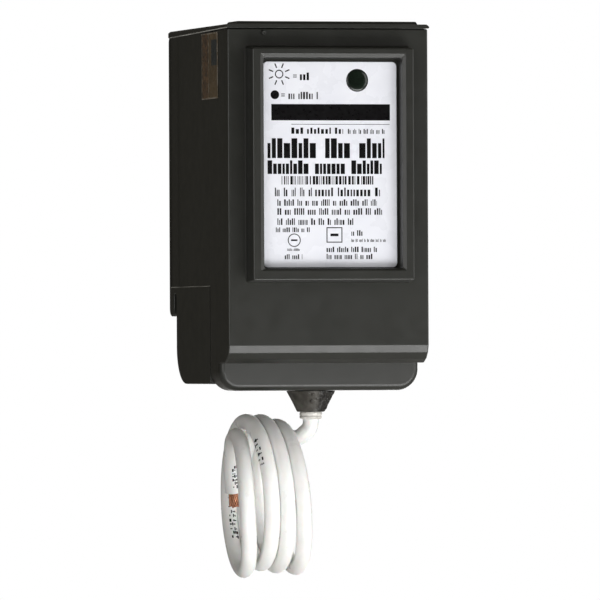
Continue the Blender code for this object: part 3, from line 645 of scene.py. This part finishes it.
def add_floor():
    """A plain floor. It looks as pale as the backdrop, but lights the object only as white paint does."""
    bm = bmesh.new()
    corners = rectangle(-FLOOR_REACH, FLOOR_REACH, -FLOOR_REACH, FLOOR_REACH)
    bm.faces.new([bm.verts.new((x, y, FLOOR_Z)) for x, y in corners])
    paint = mottled("pale floor", (0.78, 0.78, 0.78), (0.82, 0.82, 0.82), 400.0, (0.7, 0.8), 20.0, 0.2,
                    Emission_Color=(1, 1, 1, 1))
    path = paint.add("LightPath")
    paint.link(paint.maths("MULTIPLY", path.outputs["Is Camera Ray"], 0.72),
               paint.shader.inputs["Emission Strength"])
    add_object("floor", bm, paint.material)


# ------ neutral lead and its coil
def eased(keys, u):
    """A smooth curve through keys [(u, value), ...], level beyond the first and the last."""
    last = len(keys) - 1
    u = min(max(u, keys[0][0]), keys[last][0])
    i = max(k for k in range(last) if keys[k][0] <= u)
    (u0, v0), (u1, v1) = keys[i], keys[i + 1]
    t, span = (u - u0) / (u1 - u0), u1 - u0
    leave = (v1 - keys[i - 1][1]) / (u1 - keys[i - 1][0]) if i else 0.0
    arrive = (keys[i + 2][1] - v0) / (keys[i + 2][0] - u0) if i + 1 < last else 0.0
    return ((2 * t ** 3 - 3 * t ** 2 + 1) * v0 + (t ** 3 - 2 * t ** 2 + t) * span * leave
            + (3 * t ** 2 - 2 * t ** 3) * v1 + (t ** 3 - t ** 2) * span * arrive)


COIL_X = [(-0.65, -6.0), (-0.5, -6.3), (-0.25, -6.9), (0, -8.7), (1, -12.7), (2, -16.7), (2.5, -18.3),
          (2.75, -19.9), (3, -22.6), (3.25, -20.2), (3.5, -18.3)]
COIL_CENTRE_Z = [(-0.65, -70.2), (0.25, -70.2), (1, -69.5), (2, -68.9), (3, -71.5), (3.5, -71.5)]
COIL_R = [(-0.65, 17.15), (0, 17.15), (1, 17.25), (2, 17.6), (3, 16.85), (3.25, 16.3), (3.5, 12.3)]
COIL_START, COIL_END = -0.65, 3.47
# Printed stretches: first and last share of the wire's length, and the azimuth that the print faces.
MARKS_PER_WIRE = 400
MARKED = [(0.980, 0.998, 12), (0.782, 0.812, 8), (0.690, 0.706, -62)]


def coil_point(u):
    """A point on the coil, u turns after its first pass in front."""
    angle = math.radians(270 + 360 * u)
    radius, centre_z = eased(COIL_R, u), eased(COIL_CENTRE_Z, u)
    z = centre_z + radius * math.cos(angle)
    x = eased(COIL_X, u) - math.tan(COIL_LEAN) * (z - centre_z)
    return Vector((x, COIL_Y + radius * math.sin(angle), z))


def smooth_path(route, steps):
    """Points along a Catmull-Rom curve through the route."""
    points = [Vector(p) for p in route]
    padded = [2 * points[0] - points[1]] + points + [2 * points[-1] - points[-2]]
    fine = []
    for a, b, c, d in zip(padded, padded[1:], padded[2:], padded[3:]):
        for i in range(steps):
            t = i / steps
            fine.append(0.5 * (2 * b + (c - a) * t + (2 * a - 5 * b + 4 * c - d) * t ** 2
                               + (3 * b - 3 * c + d - a) * t ** 3))
    return fine + [points[-1]]


def wire_path():
    """The lead out of the boot, then round the coil to its cut end."""
    lead = [(0, BOOT_Y, BOOT_LOW.z - 0.05), (0, BOOT_Y, -51.7), (-0.3, -40.3, -53.5),
            (-1.5, -39.6, -54.9), (-3.0, -38.7, -56.0)]
    count = round((COIL_END - COIL_START) * 12)
    coil = [coil_point(COIL_START + (COIL_END - COIL_START) * i / count) for i in range(count + 1)]
    return smooth_path(lead + coil, 4)


def curve_object(name, runs, radius, mat, resolution):
    """Round tubes along runs of points in millimetres, with closed ends."""
    data = bpy.data.curves.new(name, "CURVE")
    data.dimensions = "3D"
    data.bevel_depth = radius * MM
    data.bevel_resolution = resolution
    data.use_fill_caps = True
    for run in runs:
        spline = data.splines.new("POLY")
        spline.points.add(len(run) - 1)
        for slot, point in zip(spline.points, run):
            slot.co = (*(Vector(point) * MM), 1.0)
    data.materials.append(mat)
    return show(name, data)


def frames_along(points):
    """(point, tangent, side, up) along a path, turning as little as possible."""
    result = []
    up = Vector((1.0, 0.0, 0.0))
    for i, point in enumerate(points):
        tangent = (points[min(i + 1, len(points) - 1)] - points[max(i - 1, 0)]).normalized()
        up = (up - tangent * up.dot(tangent)).normalized()
        result.append((point, tangent, tangent.cross(up), up))
    return result


def conductor(path, mat):
    """Nineteen twisted strands that stand out of the cut insulation."""
    point, tangent, side, up = frames_along(path)[-1]
    strand_r, reach, hidden, steps = 0.235, 3.4, 1.2, 16
    runs = []
    for count, radius in ((1, 0.0), (6, 0.47), (12, 0.93)):
        for k in range(count):
            run = []
            for i in range(steps + 1):
                along = -hidden + (reach + hidden - 0.1 * ((k * 7) % 3)) * i / steps
                angle = 2 * math.pi * k / count + along * 0.3
                spread = radius * (1 + 0.02 * max(along, 0))
                bend = Vector((0, 0, -0.02)) * max(along, 0) ** 2
                out = (side * math.cos(angle) + up * math.sin(angle)) * spread
                run.append(point + tangent * along + out + bend)
            runs.append(run)
    return curve_object("conductor_strands", runs, strand_r, mat, 3)


def wire_marks(path, mat):
    """Generic ink print along the wire: short strokes and dots that spell nothing."""
    rng = random.Random(11)
    bm = bmesh.new()
    frames = frames_along(path)
    for first, last, azimuth in MARKED:
        facing = Vector((math.sin(math.radians(azimuth)), -math.cos(math.radians(azimuth)), 0))
        count = round((last - first) * MARKS_PER_WIRE)
        for n in range(count):
            i, between = divmod((first + (last - first) * n / count) * (len(frames) - 1), 1)
            point, tangent, side, up = frames[int(i)]
            point = point.lerp(frames[int(i) + 1][0], between)
            turn = math.atan2(facing.dot(up), facing.dot(side))
            for across in rng.sample((-0.36, -0.12, 0.12, 0.36), 3):
                half_turn, length = rng.uniform(0.06, 0.13), rng.choice((0.25, 0.4, 0.8))
                angles = [turn + across + half_turn * s for s in (-1, 0, 1)]
                rings = []
                for along, radius in ((-1, -0.02), (-1, 0.02), (1, 0.02), (1, -0.02)):
                    middle = point + tangent * along * length / 2
                    rings.append([
                        bm.verts.new(middle + (side * math.cos(a) + up * math.sin(a)) * (WIRE_R + radius))
                        for a in angles])
                for one, two in zip(rings, rings[1:] + rings[:1]):
                    for k in range(2):
                        bm.faces.new((one[k], one[k + 1], two[k + 1], two[k]))
                for k in (0, 2):
                    bm.faces.new([ring[k] for ring in rings])
    return add_object("wire_marks", bm, mat)


def neutral_lead(materials):
    """The white lead with its bare strands, its print and the collar under the boot."""
    path = wire_path()
    wire = curve_object("neutral_wire", [path], WIRE_R, materials["white_insulation"], 7)
    strands = conductor(path, materials["bare_copper"])
    marks = wire_marks(path, materials["ink"])

    def lumpy(point):
        x, y = noise.noise(point * 0.9), noise.noise(point * 0.9 + Vector((9, 0, 0)))
        return point + Vector((x, y, 0)) * 0.12

    low, high = COLLAR_LOW.z, BOOT_LOW.z - 0.02
    collar = turned("lead_collar_ring", "Z", (0.0, BOOT_Y), [
        (WIRE_R + 0.02, high), (2.55, high), (2.72, high - 0.25), (2.72, high - 0.75), (2.6, high - 0.95),
        (2.75, high - 1.15), (2.68, low + 0.35), (2.45, low + 0.08), (2.2, low), (WIRE_R + 0.02, low)],
        materials["collar"], 48, lumpy)
    finish_piece(wire, ["neutral_lead", "neutral_coil", "neutral_tail"])
    finish_piece(strands, ["conductor_end"])
    finish_piece(collar, ["lead_collar"])
    finish_piece(marks)


# ------ rear case
def rim_low(y):
    """The height of the lip's lower edge, which slopes up towards the front."""
    return 42.9 + 0.7 * y / FRONT_Y


def rim(y_low, y_high):
    """The lip round the top edge: it is deep and flush at the rear, thin and proud at the front."""
    def outline(y, margin):
        forward = y / FRONT_Y
        half = HALF + 0.05 + (RIM_OUT - 0.05) * forward - margin
        low, top = rim_low(y) + margin, RIM_TOP_Z - margin
        high, bevel = low + LIP_CHAMFER, 0.45 + 0.1 * forward
        return fillet([
            (-half + LIP_CHAMFER, low, 0), (half - LIP_CHAMFER, low, 0), (half, high, 0),
            (half, top - bevel, 0.1), (half - bevel * 1.2, top, 0.3), (-half + bevel * 1.2, top, 0.3),
            (-half, top - bevel, 0.1), (-half, high, 0)], 4)

    rounds = round_over(0.1, 4)
    near = [(y_low + depth, outline(y_low + depth, margin)) for depth, margin in rounds]
    far = [(y_high - depth, outline(y_high - depth, margin)) for depth, margin in reversed(rounds)]
    return loft("rim", "Y", near + far)


def plateau(y_low, y_high):
    """The raised flat on the cover's top, with sloping sides and a soft upper edge."""
    foot, slope = RIM_TOP_Z - 0.3, 0.55
    rings = []
    for share, z in ((0.0, foot), (0.75, PLATEAU_Z - 0.22), (0.92, PLATEAU_Z - 0.06), (1.12, PLATEAU_Z)):
        grow = slope * (1 - share)
        half = PLATEAU_HALF + grow
        rings.append((z, rectangle(-half, half, y_low - grow, y_high + grow)))
    return loft("plateau", "Z", rings)


def side_relief(side):
    """What is cut from an upper side wall: a shallow step, with a sloping ledge below and a crease behind."""
    far, face = side * (HALF + 1.5), side * (HALF + 0.001)
    step, shallow = side * (HALF - 0.4), side * (HALF - 0.2)
    front = SEAM_CASE - 1

    def section(x_step, x_shallow):
        return [(far, front), (x_step, front), (x_step, CREASE_Y - 0.5), (x_shallow, CREASE_Y + 0.5),
                (x_shallow, -1.7), (face, -1.3), (far, -1.3)]

    cut_back = section(step, shallow)
    return loft("side_relief", "Z", [
        (LEDGE_Z - 0.1, section(face, face)), (LEDGE_Z + 0.1, cut_back), (TOP_Z + 1, cut_back)])


def case_shell(mat):
    """The rear shell: rail hook and foot, lip, side reliefs, jaw pockets, screw posts and boot seat."""
    tip = HOOK_THICK / 2 - 0.02
    profile = fillet([
        (SEAM_CASE - 3, TOP_Z, 0.5), (0, TOP_Z, 1.6), (0, HOOK_TIP_Z, tip), (-HOOK_THICK, HOOK_TIP_Z, tip),
        (-HOOK_THICK, SLOT_ROOF_Z, 0.5), (LOWER_REAR_Y, SLOT_ROOF_Z, 0.7),
        (LOWER_REAR_Y, CASE_BOTTOM_Z, REAR_BOTTOM_R), (SEAM_CASE - 3, CASE_BOTTOM_Z, 0.5)], 10)
    case = prism("case_shell", "X", profile, -HALF, HALF, mat, edge=0.3, steps=4)
    cut(case, box("seam_face", (-40, 40), (SEAM_CASE - 10, SEAM_CASE), (-60, 60)))
    cut(case, side_relief(-1), side_relief(1))
    join(case, rim(SEAM_CASE, 0.0))

    rear = LOWER_REAR_Y - WALL
    hollow = fillet([
        (SEAM_CASE - 1, TOP_Z - WALL, 0), (-WALL, TOP_Z - WALL, 0.8), (-WALL, SLOT_ROOF_Z + WALL, 0.8),
        (rear, SLOT_ROOF_Z + WALL, 0.8), (rear, CASE_BOTTOM_Z + WALL, REAR_BOTTOM_R - WALL),
        (SEAM_CASE - 1, CASE_BOTTOM_Z + WALL, 0)], 8)
    cut(case, prism("case_hollow", "X", hollow, -HALF + WALL, HALF - WALL))

    wall, half, open_top = 1.3, JAW_SLOT_HALF, 60
    for side in (-1, 1):
        x = side * JAW_X
        join(case, box("pocket_wall", (x - half - wall, x + half + wall), (-JAW_SLOT_DEPTH - wall, -1),
                       (JAW_SLOT_LOW_Z - wall, TOP_Z - 1)))
        mouth = rounded_rectangle(x - half, x + half, JAW_SLOT_LOW_Z, PLATEAU_Z + 4, 0.5)
        pocket = prism("jaw_pocket", "Y", mouth, -JAW_SLOT_DEPTH, 1)
        lead_in = loft("jaw_lead_in", "Y", [
            (y, rectangle(x - half - grow, x + half + grow, JAW_SLOT_LOW_Z - grow, open_top))
            for y, grow in ((-0.7, -0.1), (0.4, 0.9))])
        strap_way = box("strap_way", (x - 1.1, x + 1.1), (-19, -12),
                        (JAW_SLOT_LOW_Z - 2 * wall, JAW_SLOT_LOW_Z + 1))
        cut(case, pocket, lead_in, strap_way)

    for centre in SCREWS:
        rear = 0.0 if centre[1] > 0 else LOWER_REAR_Y
        floor = rear - 3.0
        join(case, cylinder("post", "Y", centre, SCREW_POST_R, SEAM_CASE, rear - 1, 32))
        cut(case, turned("post_sink", "Y", centre, [
            (0, SEAM_CASE - 1), (SCREW_HOLE_R, SEAM_CASE - 1), (SCREW_HOLE_R, floor), (2.3, floor),
            (2.3, rear - 0.35), (2.75, rear + 0.05), (2.75, rear + 1), (0, rear + 1)]))

    boss = cylinder("boot_boss", "Z", (0.0, BOOT_Y), 6.2, COVER_BOTTOM_Z, CASE_BOTTOM_Z + 0.5)
    cut(boss, box("boss_trim", (-8, 8), (BOOT_Y - 8, SEAM_CASE), (-50, -40)))
    join(case, boss)
    cut(case, cylinder("boot_way", "Z", (0.0, BOOT_Y), 3.9, -50, -38))
    return even_shading(case)


# ------ front cover
def lower_outline(margin):
    """The lower body seen from the front, with its two round bottom corners."""
    half, bottom = HALF - margin, COVER_BOTTOM_Z + margin
    return fillet([(half, TOP_Z, 0.6), (-half, TOP_Z, 0.6), (-half, bottom, LOWER_CORNER - margin),
                   (half, bottom, LOWER_CORNER - margin)], 14)


def lower_body(mat):
    """The lower body: a soft front edge, and sides that round in a little at the seam."""
    front, round_in, round_deep = LOWER_FRONT_Y, 0.22, 0.6
    rings = [(front + depth, lower_outline(margin)) for depth, margin in
             ((0, 1.5), (0.10, 1.0), (0.32, 0.6), (0.75, 0.28), (1.3, 0.08), (1.9, 0.0))]
    rings += [(SEAM_COVER - round_deep * depth, lower_outline(round_in * margin))
              for depth, margin in reversed(round_over(1, 3))]
    body = loft("cover_shell", "Y", rings, mat)
    # Below the panel the front leans back a little.
    for vert in body.data.vertices:
        y, z = vert.co.y / MM, vert.co.z / MM
        if y < front + 2.5 and z < PANEL_BOTTOM_Z:
            vert.co.y += LOWER_DRAFT * (PANEL_BOTTOM_Z - z) * MM
    return body


def front_panel():
    """The tall front panel, whose bottom edge turns under in two flats."""
    rear, top = -44.0, TOP_Z + 0.2
    profile = fillet([
        (rear, top, 0.4), (FRONT_Y, top, 0.4), (FRONT_Y, -33.45, 0.9), (FRONT_Y + 0.62, -35.25, 0.7),
        (FRONT_Y + 2.1, -36.75, 0.9), (FRONT_Y + 4.2, PANEL_BOTTOM_Z, 0.5), (rear, PANEL_BOTTOM_Z, 0.4)], 5)
    return prism("front_panel", "X", profile, -HALF, HALF, edge=0.38, steps=5)


def label_block():
    """The raised frame: crisp corners, a slight draft and a small fillet at its foot."""
    front, foot = BLOCK_FRONT_Y, FRONT_Y
    return loft("label_block", "Y", [
        (y, rounded_rectangle(-BLOCK_HALF - margin, BLOCK_HALF + margin, BLOCK_BOTTOM_Z - margin,
                              BLOCK_TOP_Z + margin, radius))
        for y, margin, radius in (
            (front, -0.30, 0.2), (front + 0.03, -0.16, 0.28), (front + 0.11, -0.04, 0.36),
            (front + 0.26, 0.02, 0.42), (foot - 0.45, 0.42, 0.6), (foot - 0.18, 0.5, 0.7),
            (foot + 0.02, 0.72, 0.9), (foot + 1, 0.72, 0.9))])


def label_recess():
    """The recess: a bevelled mouth with mitred corners, a fine step, and steep walls down to the floor."""
    front = BLOCK_FRONT_Y
    return loft("label_recess", "Y", [
        (y, rounded_rectangle(-MOUTH_HALF + margin, MOUTH_HALF - margin, MOUTH_LOW_Z + low_margin,
                              MOUTH_TOP_Z - margin, radius))
        for y, margin, low_margin, radius in (
            (front - 1, -0.14, -0.14, 0.15), (front, -0.14, -0.14, 0.15), (front + 0.04, 0.0, 0.0, 0.2),
            (front + 0.42, 0.66, 0.36, 0.5), (front + 0.46, 0.78, 0.42, 0.6), (front + 0.75, 0.80, 0.44, 0.7),
            (RECESS_Y - 0.3, 1.02, 0.55, 1.0), (RECESS_Y, 1.15, 0.6, 1.1))])


def cover_shell(mat):
    """The front shell: lower body, panel, lip, plateau and label frame, hollow behind, with screw bosses."""
    cover = lower_body(mat)
    join(cover, front_panel(), rim(FRONT_Y - 0.35, SEAM_COVER), plateau(FRONT_Y + 0.9, PLATEAU_REAR_Y),
         label_block())
    cut(cover, label_recess())
    inner = HALF - WALL
    main = box("cover_hollow", (-inner, inner), (FRONT_Y + WALL, SEAM_COVER + 1),
               (PANEL_BOTTOM_Z + WALL, TOP_Z - WALL))
    low_outline = rounded_rectangle(-inner, inner, COVER_BOTTOM_Z + WALL, -30, LOWER_CORNER - WALL)
    low = prism("cover_hollow_low", "Y", low_outline, LOWER_FRONT_Y + WALL, SEAM_COVER + 1)
    cut(cover, main, low)
    for centre in SCREWS:
        front = (FRONT_Y if centre[1] > 0 else LOWER_FRONT_Y) + 1
        join(cover, cylinder("boss", "Y", centre, SCREW_POST_R, front, SEAM_COVER, 32))
        cut(cover, cylinder("boss_hole", "Y", centre, SCREW_HOLE_R, LOWER_FRONT_Y + 2.2, SEAM_COVER + 1, 32))
    cut(cover, cylinder("boot_way", "Z", (0.0, BOOT_Y), 3.9, -50, -38),
        cylinder("lens_way", "Y", (LENS_X, LENS_Z), 3.1, RECESS_Y - 1, -50, 64))
    # The moulding gate's witness: a tiny raised ring on the top band.
    join(cover, turned("gate_mark", "Y", (-16.1, 42.5), [
        (0, -58.42), (0.25, -58.44), (0.34, -58.5), (0.5, -58.47), (0.6, -58.2), (0, -58.2)], steps=24))
    return even_shading(cover)


# ------ label, print and lens
def label_card(mat):
    """The label's plate: round corners, a soft raised edge and a hole for the lens."""
    corner, front, back = 1.15, LABEL_LOW.y, LABEL_HIGH.y
    card = loft("label_card", "Y", [
        (y, rounded_rectangle(LABEL_LOW.x + margin, LABEL_HIGH.x - margin, LABEL_LOW.z + margin,
                              LABEL_HIGH.z - margin, corner - margin * 0.8, 10))
        for margin, y in ((0.0, back), (0.0, front + 0.12), (0.03, front + 0.05), (0.1, front + 0.01),
                          (0.25, front))], mat)
    cut(card, cylinder("label_lens_way", "Y", (LENS_X, LENS_Z), LENS_HOLE_R, front - 1, back + 1, 96))
    return even_shading(card)


class Print:
    """Flat ink on the label, made of thin slabs just proud of its face. It holds no lettering."""

    def __init__(self):
        self.bm = bmesh.new()
        self.rng = random.Random(5)

    def shape(self, outline):
        """Inks a closed outline [(x, z), ...]."""
        rings = [[self.bm.verts.new((x, y, z)) for x, z in outline]
                 for y in (LABEL_LOW.y + 0.02, LABEL_LOW.y - 0.02)]
        skin(self.bm, rings)
        self.bm.faces.new(rings[0])
        self.bm.faces.new(rings[1])

    def bar(self, x0, x1, z0, z1):
        self.shape(rectangle(x0, x1, z0, z1))

    def ring(self, x, z, outer, inner):
        outside, inside = circle(x, z, outer, 40), circle(x, z, inner, 40)
        layers = []
        for y in (LABEL_LOW.y + 0.02, LABEL_LOW.y - 0.02):
            layers.append([[self.bm.verts.new((a, y, b)) for a, b in ring] for ring in (outside, inside)])
        (back_out, back_in), (front_out, front_in) = layers
        skin(self.bm, [back_out, back_in, front_in, front_out], closed=True)

    def frame(self, x0, x1, z0, z1, line):
        self.bar(x0, x1, z1 - line, z1)
        self.bar(x0, x1, z0, z0 + line)
        self.bar(x0, x0 + line, z0 + line + 0.01, z1 - line - 0.01)
        self.bar(x1 - line, x1, z0 + line + 0.01, z1 - line - 0.01)

    def words(self, x0, x1, z0, z1, weight, word, gap=0.62):
        """A line of greeked text: plain upright strokes, in groups, between x0 and x1."""
        tall = z1 - z0
        x, left = x0, self.rng.randint(2, word)
        while x < x1:
            wide = tall * weight * self.rng.uniform(0.55, 1.25)
            top = z1 if self.rng.random() < 0.4 else z0 + tall * 0.76
            self.bar(x, min(x + wide, x1), z0, top)
            x += wide + tall * weight * gap
            left -= 1
            if left == 0:
                x += tall * 0.42
                left = self.rng.randint(2, word)


def label_print(mat):
    """A sun, a dot, a bar, lines of greeked text and two plain symbols, from the top of the label down."""
    ink = Print()
    sun_x, sun_z = -12.8, 32.35
    ink.ring(sun_x, sun_z, 1.06, 0.80)
    for k in range(8):
        angle = math.radians(22.5 + 45 * k)
        c, s = math.cos(angle), math.sin(angle)
        ends = [(1.62, -0.15), (2.78, -0.15), (2.78, 0.15), (1.62, 0.15)]
        ink.shape([(sun_x + c * out - s * aside, sun_z + s * out + c * aside) for out, aside in ends])
    for x, z in ((-9.3, 31.55), (-12.3, 26.95)):
        ink.bar(x, x + 0.9, z, z + 0.22)
        ink.bar(x, x + 0.9, z + 0.48, z + 0.70)
    ink.shape(circle(-13.9, 27.35, 1.08, 40))
    ink.bar(-14.8, 15.0, 21.15, 25.1)
    ink.bar(-9.8, 14.9, 20.15, 20.27)
    for line in (
            (-7.6, -4.6, 30.9, 32.75, 0.26, 3), (-10.5, -2.9, 26.3, 28.05, 0.24, 7),
            (-9.8, 3.2, 17.9, 19.4, 0.42, 8), (4.4, 14.2, 17.9, 19.1, 0.20, 3),
            (-15.8, 13.6, 12.0, 16.8, 0.27, 9, 0.26), (-15.8, 12.9, 8.15, 11.45, 0.30, 9, 0.26)):
        ink.words(*line)
    x = -12.3
    while x < 10.7:
        wide = ink.rng.choice((0.16, 0.16, 0.3, 0.46, 0.6))
        ink.bar(x, x + wide, 5.6, 7.65)
        x += wide + ink.rng.choice((0.16, 0.22, 0.3, 0.45))

    for line in (
            (-14.0, -4.6, 2.75, 4.85, 0.15, 3), (-3.9, 12.4, 2.75, 4.85, 0.27, 12),
            (-13.4, 11.6, 0.45, 2.0, 0.22, 5), (-13.4, 12.9, -1.75, -0.15, 0.22, 5),
            (-13.4, 6.1, -4.2, -2.6, 0.22, 5), (-13.8, -5.3, -5.95, -4.8, 0.26, 4),
            (-10.9, -7.6, -10.5, -9.9, 0.3, 6), (-11.6, -7.2, -12.5, -11.3, 0.25, 4),
            (5.15, 8.4, -6.85, -5.5, 0.24, 4), (5.15, 13.9, -8.35, -7.6, 0.2, 4),
            (-1.1, 11.7, -10.8, -9.5, 0.25, 6), (-1.1, 10.4, -12.5, -11.2, 0.25, 5)):
        ink.words(*line)
    ink.ring(-9.2, -7.9, 1.62, 1.40)
    ink.bar(-10.0, -8.4, -8.1, -7.7)
    ink.frame(-1.1, 2.9, -8.5, -4.75, 0.24)
    ink.bar(-0.1, 1.9, -6.95, -6.3)
    return add_object("label_print", ink.bm, mat)


def lens(mat):
    """A smooth green light pipe with a shallow dome."""
    front = LENS_LOW.y
    dome = [(2.68 * math.sin(t), front + 0.42 * (1 - math.cos(t)) ** 1.6)
            for t in [math.radians(86) * k / 12 for k in range(1, 13)]]
    return turned("status_lens_dome", "Y", (LENS_X, LENS_Z), [
        (0, front), *dome, (2.72, front + 1.0), (2.72, -57.9), (2.5, -57.5), (2.0, -57.3), (2.0, -45.8),
        (1.8, -45.6), (0, -45.6)], mat, 64)


def seal_tape(mat):
    """Tape drawn down over the seam: it follows the step behind the cover and lifts a little at its top."""
    columns, rows = 56, 56
    seam, ragged = -40.05, 0.12
    bm = bmesh.new()
    grid = []
    for i in range(columns + 1):
        y = SEAL_LOW.y + (SEAL_HIGH.y - SEAL_LOW.y) * i / columns
        down = min(max((y - seam + 0.15) / 0.9, 0.0), 1.0)
        down = down * down * (3 - 2 * down)
        line = []
        for j in range(rows + 1):
            z = SEAL_LOW.z + (SEAL_HIGH.z - SEAL_LOW.z) * j / rows
            lift = 0.05 + 0.05 * noise.noise(Vector((y * 0.35, z * 0.5, 3.0)))
            lift += 0.035 * abs(noise.noise(Vector((y * 1.3, z * 1.0, 7.0))))
            top = max(0.0, (z - (SEAL_HIGH.z - 1.6)) / 1.6)
            lift += 0.14 * top * (0.6 + noise.noise(Vector((y * 1.1, z * 0.6, 1.0))))
            ridge = math.exp(-((y - seam) / 0.22) ** 2) * 0.07
            x = -HALF - 0.03 - lift - ridge + 0.36 * down
            nick = ragged * abs(noise.noise(Vector((y * 0.9, 0, 5.0))))
            edge = {0: nick, rows: -nick}.get(j, 0.0)
            line.append(bm.verts.new((max(x, SEAL_LOW.x - 0.02), y, z + edge)))
        grid.append(line)
    for one, two in zip(grid, grid[1:]):
        for j in range(rows):
            bm.faces.new((one[j], one[j + 1], two[j + 1], two[j]))
    tape = add_object("seal_tape", bm, mat, sharp=60)
    thick = tape.modifiers.new("Thickness", "SOLIDIFY")
    thick.thickness = 0.06 * MM
    thick.offset = 0
    return tape


# ------ boot
def boot(mat):
    """The potted boot: a smooth taper, with a rough spill of compound at its top right."""
    low, top = BOOT_LOW.z, COVER_BOTTOM_Z
    shape = turned("boot_moulding", "Z", (0.0, BOOT_Y), [
        (0, BOOT_HIGH.z), (4.7, BOOT_HIGH.z), (5.0, BOOT_HIGH.z - 0.3), (5.1, BOOT_HIGH.z - 1.1),
        (3.55, BOOT_HIGH.z - 1.1), (3.55, top - 0.04), (5.85, top - 0.04), (5.9, top - 0.15),
        (5.8, top - 0.4), (4.6, top - 2.6), (3.48, low + 0.3), (3.38, low + 0.08), (3.2, low), (0, low)],
        mat, 72)
    rng = random.Random(21)
    lumps = []
    for _ in range(26):
        angle, drop = math.radians(rng.uniform(-112, -38)), rng.uniform(0.2, 3.0)
        reach = 5.75 - 0.53 * drop - rng.uniform(0.0, 0.45)
        centre = Vector((reach * math.cos(angle), BOOT_Y + reach * math.sin(angle), top - drop))
        bm = bmesh.new()
        bmesh.ops.create_icosphere(bm, subdivisions=3, radius=rng.uniform(0.3, 0.65))
        for vert in bm.verts:
            vert.co *= 1 + 0.5 * noise.noise(vert.co * 1.6 + centre * 5)
            vert.co += centre
            vert.co.z = min(vert.co.z, top - 0.04)
        lumps.append(add_object("lump", bm))
    join(shape, *lumps)
    remesh = shape.modifiers.new("Merge", "REMESH")
    remesh.mode = "VOXEL"
    remesh.voxel_size = 0.12 * MM
    bpy.context.view_layer.update()
    settle(shape, sharp=70, merge=0.0001)
    for vert in shape.data.vertices:
        point = vert.co / MM
        rough = max(0.0, min(1.0, (point.x + 0.5) / 1.5)) if point.y < BOOT_Y else 0.0
        if low + 0.3 < point.z < top - 0.1:
            out = Vector((point.x, point.y - BOOT_Y, 0)).normalized()
            vert.co += out * (0.02 + 0.2 * rough) * noise.fractal(point * 1.1, 1.0, 2.0, 4) * MM
    return shape


def place_housing(materials):
    case, cover = case_shell(materials["black_housing"]), cover_shell(materials["black_housing"])
    # The lip's lower edge, the side ledge and the cover's seam edge get the painted edge highlight.
    paint_edge_highlight(case, materials["painted_edge_highlight"], on_lip_edge, on_ledge)
    paint_edge_highlight(cover, materials["painted_edge_highlight"], on_lip_edge, on_seam_edge)
    finish_piece(case, ["rear_case"])
    finish_piece(cover, ["front_cover"])
    finish_piece(label_card(materials["label_face"]), ["label_plate"])
    finish_piece(label_print(materials["ink"]))
    finish_piece(lens(materials["lens_green"]), ["status_lens"])
    finish_piece(seal_tape(materials["seal_film"]), ["tamper_seal"])
    finish_piece(boot(materials["boot_compound"]), ["cable_boot"])


# ------ build
add_camera()
add_backdrop()
add_lights()
add_floor()
materials = make_materials()
paint_frame(materials)
neutral_lead(materials)
place_housing(materials)
